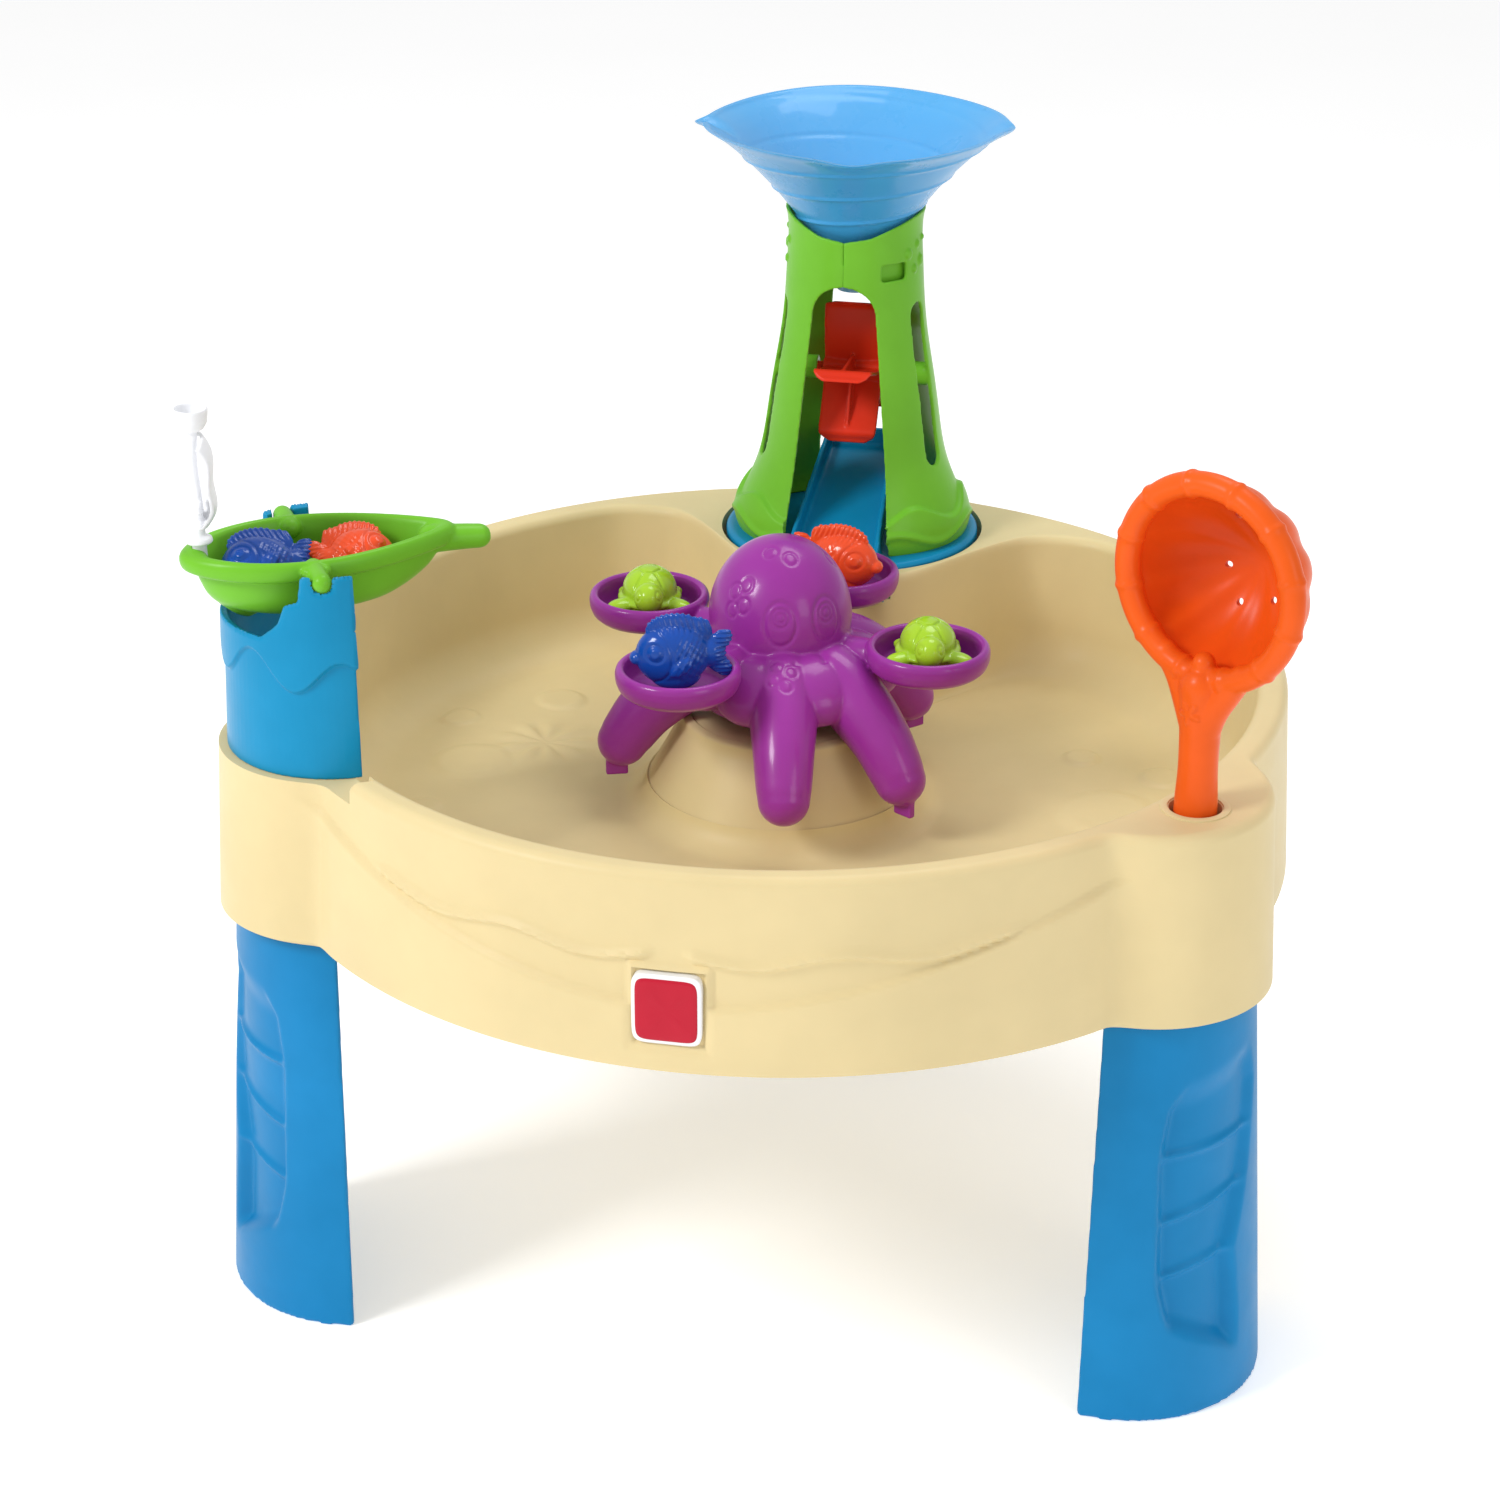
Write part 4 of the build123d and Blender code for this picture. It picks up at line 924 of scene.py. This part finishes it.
# ------------------------------------------------------------------ octopus spinner
class WATERTABLE_OT_octopus(Operator):
    """Octopus spinner: head with its face, four tentacles and four trays"""

    bl_idname = "water_table.octopus"
    bl_label = "Octopus"

    def execute(self, context):
        size = context.scene.water_table_sizes
        head = size.head_radius / MM
        lean = bearing(140) * 3
        crown = AXIS + lean + 523 * UP
        parts = [ball("head", crown, (head, head, 65), upward=UP, turns=96)]
        skirt = [(0, 516), (40, 513), (54, 505), (64, 492), (70, 478), (71, 466), (66, 454), (50, 450), (0, 450)]
        parts.append(spun("shoulders", skirt, settle(AXIS, (1, 0, 0))))
        for azimuth, spread in ((-56, 13), (-98, 9), (8, 9), (60, 10), (120, 10), (180, 9), (-140, 9)):
            parts.append(ball("web", station(62, azimuth, 484), (30, 17 + spread, 20), bearing(azimuth) - 0.55 * UP,
                              bearing(azimuth) * 0.55 + UP))
        for azimuth in TENTACLE_AZIMUTHS:
            stations = [
                (*station(26, azimuth, 488), 24), (*station(56, azimuth, 486), 26), (*station(84, azimuth, 469), 26.5),
                (*station(108, azimuth, 449), 24), (*station(123, azimuth, 430), 22), (*station(129, azimuth, 421), 20.5),
            ]
            parts.append(limb("tentacle", stations))
            if azimuth != TENTACLE_AZIMUTHS[0]:
                seat = settle(station(134, azimuth, 401), bearing(azimuth))
                tab = [(-9, -9), (9, -9), (9, 12), (-9, 12)]
                side_seat = (seat[0], np.stack((seat[1][0], UP, seat[1][1])))
                parts.append(slab("tab", tab, side_seat, -3, 3))
        for azimuth in TRAY_AZIMUTHS.values():
            arm = [(*station(36, azimuth, 498), 17), (*station(70, azimuth, 501), 13.5), (*station(88, azimuth, 501), 13)]
            parts.append(limb("arm", arm))
            dish = [(0, 500), (35, 500), (38.5, 501.5), (39.8, 506), (40.4, 513), (41.6, 517.4), (44.6, 519.6),
                    (47.6, 518), (49, 514), (48.6, 508), (46.4, 502), (42, 498), (33, 495), (0, 494.5)]
            parts.append(spun("tray", dish, settle(station(124, azimuth), bearing(azimuth))))
        body = merge("octopus_moulding", parts)
        melt(body, 1.3, 5)
        seat = settle(AXIS, (1, 0, 0))
        for azimuth in TRAY_AZIMUTHS.values():
            well = [(0, 500), (37, 500), (40, 503), (41.5, 512), (42.5, 530), (0, 530)]
            cut(body, spun("well", well, settle(station(124, azimuth), bearing(azimuth))))
        bush_room = [(0, 440), (15.4, 440), (15.4, 488), (0, 488)]
        pit = [(20, 440), (54, 440), (52, 470), (24, 470)]
        cut(body, spun("bush_room", bush_room, seat, 64), spun("pit", pit, seat, 64, ring=True))
        emboss(body, lambda p, n: self.face(p, n, crown))
        set_out(body, "purple", "octopus", "purple", "octopus_body", sharp=50)
        coat("octopus_bush", "white")
        coat("spinner_spindle", "white")
        coat("spindle_screw", "steel")
        return {"FINISHED"}

    def face(self, points, normals, crown):
        """Oval eyes, a small smile and petal spots, drawn as fine grooves."""
        groove = np.zeros(len(points))

        def on_head(azimuth, height):
            level = np.sqrt(max(0.0, 1 - ((height - 523) / 65) ** 2)) * 57
            way = bearing(azimuth)
            place = crown + way * level + (height - 523) * UP
            outward = way * level / 57**2 + (height - 523) / 65**2 * UP
            return place, outward / np.linalg.norm(outward)

        for azimuth in (-78.5, -37.5):
            place, outward = on_head(azimuth, 536)
            groove -= 1.0 * ring_line(points, place, outward, (12.5, 17.5), 1.3)
            place, outward = on_head(azimuth, 541)
            groove -= 0.8 * ring_line(points, place, outward, (7, 7.5), 1.1)
            groove -= 0.7 * ring_line(points, place, outward, (3.6, 3.8), 1.0)
        mouth, outward = on_head(-58, 511)
        smile = ring_line(points, mouth, outward, (13, 7), 1.3)
        groove -= 1.0 * smile * ramp(mouth[2] - points[:, 2], 0.5, 2.5)
        petals = [(-114, 562), (-125, 556), (-112, 547), (-123, 542), (-100, 583), (-62, 580), (10, 570), (30, 556), (24, 574)]
        for azimuth, height in petals:
            place, outward = on_head(azimuth, height)
            groove -= 0.8 * ring_line(points, place, outward, (5.2, 6.2), 1.1)
        for azimuth, spots in ((-78, ((70, 508, -6), (74, 504, 6), (80, 497, -8), (84, 491, 2))), (47, ((66, 510, -6), (72, 508, 7)))):
            side = bearing(azimuth + 90)
            for reach, height, shift in spots:
                place = station(reach, azimuth, height) + side * shift
                groove -= 0.8 * ring_line(points, place, bearing(azimuth) * 0.35 + UP * 0.9, (4.6, 5.6), 1.1, bearing(azimuth))
        return groove


# ------------------------------------------------------------------ boat
class WATERTABLE_OT_boat_tower(Operator):
    """Blue half tower on the front left pod, with its dripping-wave relief"""

    bl_idname = "water_table.boat_tower"
    bl_label = "Boat tower"

    def execute(self, context):
        tower = softened("boat_tower", "boat_tower_shell", 1.2, 3)
        emboss(tower, self.relief)
        set_out(tower, "tower_blue", "table", "tower_blue", "boat_tower", sharp=60)
        coat("boat_tower_screws", "steel")
        return {"FINISHED"}

    def relief(self, points, normals):
        pod = station(360, -150)
        local = points - pod
        turn = np.degrees(np.arctan2(local @ bearing(-60), local @ bearing(-150)))
        flat = local[:, :2] / np.maximum(np.linalg.norm(local[:, :2], axis=1), 1)[:, None]
        outer = ramp((normals[:, :2] * flat).sum(axis=1), 0.3, 0.7)
        drip = 552 + 13 * np.sin(np.radians(turn * 7.2 - 140)) + 3 * np.sin(np.radians(turn * 3.1))
        return outer * (3.0 * ramp(points[:, 2] - drip, -1.6, 1.6) - 0.4)


def hull_outline(stern, bow, beam, tip):
    """Polar outline of the boat about a point a little ahead of the trunnions."""
    x = np.concatenate((np.linspace(-stern, 0, 200), np.linspace(0, bow, 260)[1:]))
    back = beam * np.clip(1 - (np.abs(x) / stern) ** 2.1, 0, 1) ** 0.62
    front = tip + (beam - tip) * np.clip(1 - np.clip(x / bow, 0, 1) ** 1.75, 0, 1) ** 0.92
    half = np.where(x < 0, back, front)
    half[-1] = 0
    return x, half


class WATERTABLE_OT_boat(Operator):
    """Tipping boat with its gunwale, trunnions and pouring spout, and the mast"""

    bl_idname = "water_table.boat"
    bl_label = "Boat"

    def execute(self, context):
        rim = BOAT_PIVOT[2] + 6
        seat = settle(BOAT_PIVOT * (1, 1, 0), -bearing(-150))
        turns = 240
        angles = np.linspace(0, 2 * pi, turns, endpoint=False)
        x, half = hull_outline(92, 119, 54, 5)
        outline_turn = np.arctan2(half, x - 8)
        outline_reach = np.hypot(half, x - 8)
        order = np.argsort(outline_turn)
        folded = np.minimum(angles, 2 * pi - angles)
        reach = np.interp(folded, outline_turn[order], outline_reach[order])
        reach = rounded_round(reach, 2)
        section = [
            (0.0, -42, 0.0), (0.30, -42, 0.0), (0.48, -41.5, 0.0), (0.60, -38.5, 0.0), (0.69, -32, 0), (0.76, -22, 0),
            (0.81, -10, 0), (0.845, -3, -1), (0.86, -0.5, -1), (0.89, 1.8, 0), (0.935, 2.4, 0), (0.975, 1.0, 0),
            (1.0, -2.5, 0), (1.0, -7.5, 0), (0.98, -11.5, 0), (0.94, -13, 0), (0.89, -14, 1), (0.86, -22, 1),
            (0.81, -33, 1), (0.73, -41, 1), (0.62, -45, 1), (0.50, -46, 1), (0.30, -46.2, 1), (0.0, -46.2, 1),
        ]
        section = smooth_path(section, 4)
        shares, heights = section[:, 0], section[:, 1]
        local = np.stack(
            (
                8 + np.cos(angles)[:, None] * reach[:, None] * shares,
                np.sin(angles)[:, None] * reach[:, None] * shares,
                np.ones((turns, 1)) * (rim + heights),
            ),
            axis=-1,
        )
        nose_rise = ramp(local[..., 0], 50, 120)
        local[..., 2] += nose_rise * 12 * ramp(rim - local[..., 2], 14, 48)
        parts = [sheet("hull", carry(local.reshape(-1, 3), seat).reshape(local.shape), rows_join=True)]

        def at(*point):
            return carry([point], seat)[0]

        parts.append(limb("deck_block", [(*at(-78, -13, rim - 5), 8), (*at(-80, 0, rim - 4), 8.5), (*at(-78, 13, rim - 5), 8)]))
        parts.append(limb("spout", [(*at(100, 0, rim - 10), 11), (*at(122, 0, rim - 11), 10), (*at(136.5, 0, rim - 12), 9.4)]))
        parts.append(limb("keel", [(*at(-58, 0, rim - 36), 9), (*at(-44, 0, rim - 46), 9), (*at(-30, 0, rim - 44), 8),
                                   (*at(60, 0, rim - 42), 4), (*at(90, 0, rim - 30), 3)]))
        for side in (-1, 1):
            parts.append(limb("trunnion", [(*at(0, side * 45, rim - 6), 8), (*at(0, side * 75, rim - 6), 7.4)]))
            parts.append(limb("cheek", [(*at(-7, side * 56, rim - 4), 4), (*at(7, side * 56, rim - 4), 4)]))
        hull = melt(merge("boat_hull_moulding", parts), 1.2, 3)
        bore = slab("bore", oval(4.5, 4.5, 32), settle(at(96, 0, rim - 12), UP, -bearing(-150)), 0, 60)
        mast_seat = settle(at(-76, 0, 0), -bearing(-150))
        step_hole = slab("step", oval(6.1, 6.1, 40), mast_seat, rim - 16.5, rim + 12)
        cut(hull, bore, step_hole)
        set_out(hull, "green", "boat", "green", "boat_hull", sharp=50)
        self.rig(mast_seat, rim)
        return {"FINISHED"}

    def rig(self, seat, rim):
        """Mast with a foot collar, cleats, a billowed sail and a look-out cup."""
        def at(*point):
            return carry([point], seat)[0]

        parts = [limb("pole", [(*at(0, 0, rim - 12), 5.8), (*at(0, 0, rim + 14), 5.2), (*at(1, 0, rim + 40), 3.6),
                               (*at(-1, 0, rim + 70), 3.6), (*at(0, 0, rim + 96), 4.2)])]
        cup = [(0, 95), (6, 95), (9.5, 97), (12, 102), (13, 111), (12.6, 112.8), (11.2, 112.4), (10.4, 108), (8.5, 101),
               (0, 99)]
        parts.append(spun("cup", [(r, rim + h) for r, h in cup], seat, 64))
        collar = [(0, 7.4), (9, 7.4), (10.5, 9), (9.5, 12), (6, 13.5), (0, 14)]
        parts.append(spun("collar", [(r, rim + h) for r, h in collar], seat, 64))
        for height, turn in ((22, 0), (30, 180), (38, 0)):
            way = cos(radians(turn))
            parts.append(limb("cleat", [(*at(0, -9 * way, rim + height), 2.2), (*at(2, 0, rim + height + 2), 2.6),
                                        (*at(0, 9 * way, rim + height + 4), 2.2)]))
        tall = np.linspace(0, 1, 40)
        wide = np.linspace(-1, 1, 41)
        grids = []
        for thickness in (-1.5, 1.5):
            rows = []
            for t in tall:
                half = 33 * (0.80 + 0.20 * np.sin(t * pi)) * (1 - 0.12 * t)
                droop = 5 * wide**2 * (1 - 2 * t)
                billow = 9 * np.sin(t * pi) - 7 * wide**2 + 2.5 * np.sin(t * 9)
                rows.append(np.column_stack((5 + billow + thickness, wide * half, rim + 22 + 70 * t + droop)))
            grids.append(np.array(rows))
        loop = np.concatenate((grids[0], grids[1][:, ::-1]), axis=1)
        sail = sheet("sail", carry(loop.reshape(-1, 3), seat).reshape(loop.shape), columns_join=True)
        work = bmesh.new()
        work.from_mesh(sail.data)
        bmesh.ops.holes_fill(work, edges=[e for e in work.edges if e.is_boundary], sides=0)
        bmesh.ops.recalc_face_normals(work, faces=work.faces)
        work.to_mesh(sail.data)
        work.free()
        parts.append(sail)
        mast = melt(merge("mast_and_sail", parts), 0.9, 3)
        set_out(mast, "white", "boat", "white", "mast", sharp=60)


# ------------------------------------------------------------------ scoop
class WATERTABLE_OT_scoop(Operator):
    """Orange scoop: roped hoop, ribbed bag with drain holes, and its handle in the rim's socket"""

    bl_idname = "water_table.scoop"
    bl_label = "Scoop"

    def execute(self, context):
        size = context.scene.water_table_sizes
        hoop = size.hoop_radius / MM
        foot = station(408, -31.5)
        facing = bearing(-122)
        across = np.cross(facing, UP)
        centre = foot + 661 * UP
        seat = (centre, np.stack((across, np.cross(facing, across), facing)))
        if seat[1][1][2] < 0:
            seat = (centre, np.stack((-across, UP, facing)))
        turns = 264
        angles = np.linspace(0, 2 * pi, turns, endpoint=False)
        polar = np.linspace(0, pi / 2, 60)
        ribs = 0.5 + 0.5 * np.cos(angles * 11)
        grids = []
        for inset in (0.0, 3.2):
            radial = (hoop + 2 - inset) * np.sin(polar)[None, :]
            back = -(69 - inset) * np.cos(polar)[None, :]
            fold = 3.4 * ribs[:, None] ** 1.5 * np.sin(polar)[None, :] ** 0.6 * (1 - ramp(polar, 1.3, 1.57))[None, :]
            radial = radial - fold
            grids.append(np.stack(
                (radial * np.cos(angles)[:, None], radial * np.sin(angles)[:, None], back * np.ones((turns, 1))), axis=-1
            ))
        loop = np.concatenate((grids[0], grids[1][:, ::-1]), axis=1)
        bag = sheet("bag", carry(loop.reshape(-1, 3), seat).reshape(loop.shape), rows_join=True)
        ring_turn = np.linspace(0, 2 * pi, 36, endpoint=False)
        wraps = sum(bump((np.degrees(angles) - place + 180) % 360 - 180, 0, 1.7) for place in np.arange(0, 360, 30) + 15)
        tube = 9.3 + 1.5 * wraps
        ring = np.stack(
            (
                (hoop + tube[:, None] * np.cos(ring_turn)) * np.cos(angles)[:, None],
                (hoop + tube[:, None] * np.cos(ring_turn)) * np.sin(angles)[:, None],
                tube[:, None] * np.sin(ring_turn),
            ),
            axis=-1,
        )
        rope = sheet("rope", carry(ring.reshape(-1, 3), seat).reshape(ring.shape), rows_join=True, columns_join=True)
        parts = [bag, rope]
        for lean in (-1, 0, 1):
            shift = across * lean
            parts.append(limb("yoke", [
                (*(foot + shift * 2 + 545 * UP), 12), (*(foot + shift * 9 + 566 * UP), 12.5),
                (*(foot + shift * 22 + 585 * UP + facing * -2), 10.5), (*(foot + shift * 34 + 600 * UP), 8.5),
            ]))
        parts.append(limb("handle", [
            (*(foot + 398 * UP), 15), (*(foot + 480 * UP), 16), (*(foot + 520 * UP), 14.5), (*(foot + 560 * UP), 15.5),
            (*(foot + 582 * UP), 17),
        ]))
        scoop = melt(merge("scoop_moulding", parts), 1.3, 3)
        holes = []
        for turn, reach in ((20, 30), (55, 34), (200, 28), (250, 36), (300, 30), (120, 36)):
            point = carry([(reach * cos(radians(turn)), reach * sin(radians(turn)), 0)], seat)[0]
            holes.append(slab("drain", oval(2.6, 2.6, 20), settle(point, across, facing), -80, -30))
        cut(scoop, *holes)
        emboss(scoop, lambda p, n: self.star(p, foot + 566 * UP + facing * 15, facing))
        set_out(scoop, "orange", "scoop", "scoop_orange", "scoop", sharp=55)
        return {"FINISHED"}

    def star(self, points, centre, facing):
        """Small five-armed relief at the top of the handle."""
        across = np.cross(facing, UP)
        offset = points - centre
        turn = np.arctan2(offset[:, 2], offset @ across)
        reach = np.hypot(offset[:, 2], offset @ across)
        edge = 6.5 + 3.2 * np.cos(5 * turn + 1.2)
        return 1.3 * (1 - ramp(reach - edge, -1.2, 1.2)) * (offset @ facing > -8)


# ------------------------------------------------------------------ toys
def fish(name, node, finish, body, heading, length_mm, height_mm, tilt=0.0):
    """Squirt fish with fins, round eyes, a gill line and scale rows."""
    low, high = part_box(node)
    centre = np.array(((low.x + high.x) / 2, (low.y + high.y) / 2, low.z)) / MM
    seat = settle(centre, bearing(heading), UP * cos(radians(tilt)) + bearing(heading + 90) * sin(radians(tilt)))
    if tilt:
        seat = (seat[0] - seat[1][2] * 32 + UP * 31, seat[1])
    s, h = length_mm / 78, height_mm / 70

    def at(*point):
        return carry([(point[0] * s, point[1], point[2] * h)], seat)[0]

    forward, side, above = seat[1]
    tipped = forward * 0.8 + above * 0.6
    parts = [
        ball("body", at(4, 0, 29), (29 * s, 17, 26 * h), forward, above),
        ball("belly", at(2, 0, 12), (20 * s, 13, 12 * h), forward, above),
        ball("lips", at(32, 0, 27), (5.5, 7, 5.5), forward, above),
        ball("crest", at(2, 0, 50), (23 * s, 4.5, 14 * h), forward, above),
        ball("crest_back", at(-14, 0, 47), (12 * s, 4, 14 * h), tipped, np.cross(tipped, side)),
        ball("tail_root", at(-24, 0, 30), (13 * s, 8, 11 * h), forward, above),
    ]
    for sign in (-1, 1):
        way = -forward * 0.75 + above * 0.66 * sign
        parts.append(ball("tail", at(-31, 0, 30 + sign * 9), (13 * s, 4, 7.5), way, np.cross(way, side)))
        parts.append(ball("fin", at(-2, sign * 16, 24), (10, 3.5, 6.5), -forward * 0.9 + above * 0.43, above))
    toy = melt(merge(name, parts), 0.9, 3)

    def skin(points, normals):
        local = (points - seat[0]) @ seat[1].T
        along, high_up = local[:, 0] / s, local[:, 2] / h
        flank = ramp(np.abs(normals @ side), 0.35, 0.6)
        lift = np.zeros(len(points))
        for sign in (-1, 1):
            eye = at(18, sign * 15, 35)
            outward = side * sign
            lift += 1.2 * (1 - ramp(np.linalg.norm(points - at(18, sign * 14, 35), axis=1), 3.0, 5.0))
            lift -= 0.9 * ring_line(points, eye, outward, (6.8, 6.8), 1.1, above)
        gill = np.hypot(along - 22, (high_up - 30) * 0.8)
        lift -= 0.9 * bump(gill, 17, 1.1) * flank * (along < 18)
        rows = np.cos(along * 1.05) * np.cos(high_up * 0.72 + along * 0.3)
        lift += 0.55 * rows * flank * ramp(4 - along, 0, 4) * ramp(along, -24, -18) * bump(high_up, 29, 17)
        comb = np.cos(along * 1.5 - high_up * 0.5)
        lift += 0.5 * comb * ramp(high_up, 48, 53) + 0.5 * np.cos(high_up * 1.7) * ramp(-along, 27, 31)
        return lift

    emboss(toy, skin)
    set_out(toy, finish, body, finish, node, sharp=60)


def turtle(name, node, heading):
    """Squirt turtle with a plated shell, a round head and four flippers."""
    low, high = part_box(node)
    centre = np.array(((low.x + high.x) / 2, (low.y + high.y) / 2, low.z)) / MM
    seat = settle(centre, bearing(heading))
    forward = seat[1][0]

    def at(*point):
        return carry([point], seat)[0]

    parts = [
        ball("dome", at(-4, 0, 19), (26, 22, 19), forward, UP),
        ball("rim", at(-4, 0, 13), (30, 26, 6.5), forward, UP),
        ball("base", at(-2, 0, 8.5), (26, 21, 8.5), forward, UP),
        ball("head", at(24, 0, 22), (13, 12, 12.5), forward, UP),
    ]
    for sign in (-1, 1):
        way = forward * 0.5 + seat[1][1] * sign * 0.87
        parts.append(ball("flipper", at(13, sign * 21, 11), (15, 8.5, 6), way, UP))
        way = -forward * 0.7 + seat[1][1] * sign * 0.7
        parts.append(ball("paddle", at(-20, sign * 17, 9), (11, 7, 5), way, UP))
    toy = melt(merge(name, parts), 0.9, 3)
    seeds = np.array([(-4, 0)] + [(-4 + 17 * cos(radians(a)), 15 * sin(radians(a))) for a in range(0, 360, 60)])

    def skin(points, normals):
        local = (points - centre) @ seat[1].T
        gaps = np.sort(np.hypot(local[:, 0, None] - seeds[:, 0], local[:, 1, None] - seeds[:, 1]), axis=1)
        plates = 1 - ramp(gaps[:, 1] - gaps[:, 0], 0.6, 2.6)
        on_dome = ramp(local[:, 2], 20, 24) * ramp(18 - local[:, 0], 0, 4)
        lift = -1.2 * plates * on_dome
        for sign in (-1, 1):
            lift -= 0.7 * ring_line(points, at(31, sign * 8, 26), forward * 0.6 + seat[1][1] * sign * 0.8, (3, 3.6), 0.9)
        return lift

    emboss(toy, skin)
    set_out(toy, "toy_green", frame_body(node), "toy_green", node, sharp=60)


def frame_body(node):
    """The body that a CAD node belongs to."""
    groups = frame["record"]["behaviour"]["bodies"]
    return next(body for body, members in groups.items() if node in members)


class WATERTABLE_OT_toys(Operator):
    """Four squirt fish and two squirt turtles"""

    bl_idname = "water_table.toys"
    bl_label = "Squirt toys"

    def execute(self, context):
        for name, node, finish, heading, long, tall, tilt in (
            ("blue_fish_in_tray", "fish_blue_tray", "toy_blue", 195, 78, 68, 0),
            ("orange_fish_in_tray", "fish_orange_tray", "toy_orange", -12, 78, 62, 0),
            ("blue_fish_in_boat", "fish_blue_boat", "toy_blue", 210, 76, 68, -50),
            ("orange_fish_in_boat", "fish_orange_boat", "toy_orange", 30, 70, 64, 50),
        ):
            fish(name, node, finish, frame_body(node), heading, long, tall, tilt)
        turtle("turtle_in_right_tray", "turtle_right", -78)
        turtle("turtle_in_left_tray", "turtle_left", -78)
        return {"FINISHED"}


# ------------------------------------------------------------------ stage
class WATERTABLE_OT_stage(Operator):
    """Pale floor, soft studio lights and the camera"""

    bl_idname = "water_table.stage"
    bl_label = "Stage"

    def execute(self, context):
        floor = sheet(
            "studio_floor",
            [[(x, y, -0.6) for y in (-50000, 50000)] for x in (-50000, 50000)],
        )
        shade = Shade("studio_paper")
        tone = shade.blend(shade.noise(2.0), (0.90, 0.90, 0.90, 1), (0.93, 0.93, 0.93, 1))
        floor.data.materials.append(shade.finish(
            {"Base Color": tone, "Roughness": 0.9, "Emission Color": (1, 1, 1, 1), "Emission Strength": 0.34}
        ))
        world = bpy.data.worlds.new("studio_air")
        context.scene.world = world
        world.use_nodes = True
        world.node_tree.nodes["Background"].inputs["Color"].default_value = (1, 1, 1, 1)
        world.node_tree.nodes["Background"].inputs["Strength"].default_value = 0.62
        context.scene.view_settings.view_transform = "Standard"
        for name, place, width, power in (
            ("key", (-2.0, -1.9, 2.5), 0.9, 62),
            ("fill", (2.4, -1.8, 1.4), 1.2, 12),
            ("top", (0.3, 0.9, 3.0), 1.2, 22),
        ):
            light = bpy.data.lights.new(name, "AREA")
            light.size = width
            light.energy = power
            lamp = bpy.data.objects.new(name, light)
            context.scene.collection.objects.link(lamp)
            lamp.location = place
            aim(lamp, (0, 0, 0.45))
        camera = bpy.data.cameras.new("camera")
        camera.lens = 81.6
        camera.sensor_width = 36
        camera.clip_end = 60
        eye = bpy.data.objects.new("camera", camera)
        context.scene.collection.objects.link(eye)
        axis = AXIS * MM
        eye.location = axis + (0.4932, -2.4536, 1.5404)
        aim(eye, axis + (-0.0254, -0.0054, 0.4052))
        context.scene.camera = eye
        return {"FINISHED"}


def aim(thing, target):
    """Turn a lamp or camera towards a point."""
    from mathutils import Vector

    way = Vector(target) - thing.location
    thing.rotation_euler = way.to_track_quat("-Z", "Y").to_euler()


# ------------------------------------------------------------------ panel and registration
PIECES = (
    WATERTABLE_OT_basin,
    WATERTABLE_OT_badge,
    WATERTABLE_OT_legs,
    WATERTABLE_OT_tower,
    WATERTABLE_OT_wheel,
    WATERTABLE_OT_funnel,
    WATERTABLE_OT_octopus,
    WATERTABLE_OT_boat_tower,
    WATERTABLE_OT_boat,
    WATERTABLE_OT_scoop,
    WATERTABLE_OT_toys,
    WATERTABLE_OT_stage,
)


class WATERTABLE_PT_panel(Panel):
    """Lists the pieces, their sizes and their colours"""

    bl_idname = "WATERTABLE_PT_panel"
    bl_label = "Water Table"
    bl_space_type = "VIEW_3D"
    bl_region_type = "UI"
    bl_category = "Water Table"

    def draw(self, context):
        for group in (context.scene.water_table_sizes, context.scene.water_table_colours):
            column = self.layout.column(align=True)
            for key in group.__annotations__:
                column.prop(group, key)
        for piece in PIECES:
            self.layout.operator(piece.bl_idname)


CLASSES = (WATERTABLE_PG_sizes, WATERTABLE_PG_colours, *PIECES, WATERTABLE_PT_panel)


def register():
    for kind in CLASSES:
        bpy.utils.register_class(kind)
    bpy.types.Scene.water_table_sizes = PointerProperty(type=WATERTABLE_PG_sizes)
    bpy.types.Scene.water_table_colours = PointerProperty(type=WATERTABLE_PG_colours)


def unregister():
    del bpy.types.Scene.water_table_colours
    del bpy.types.Scene.water_table_sizes
    for kind in reversed(CLASSES):
        bpy.utils.unregister_class(kind)


def main():
    register()
    for piece in PIECES:
        group, name = piece.bl_idname.split(".")
        getattr(getattr(bpy.ops, group), name)()


if __name__ == "__main__":
    main()
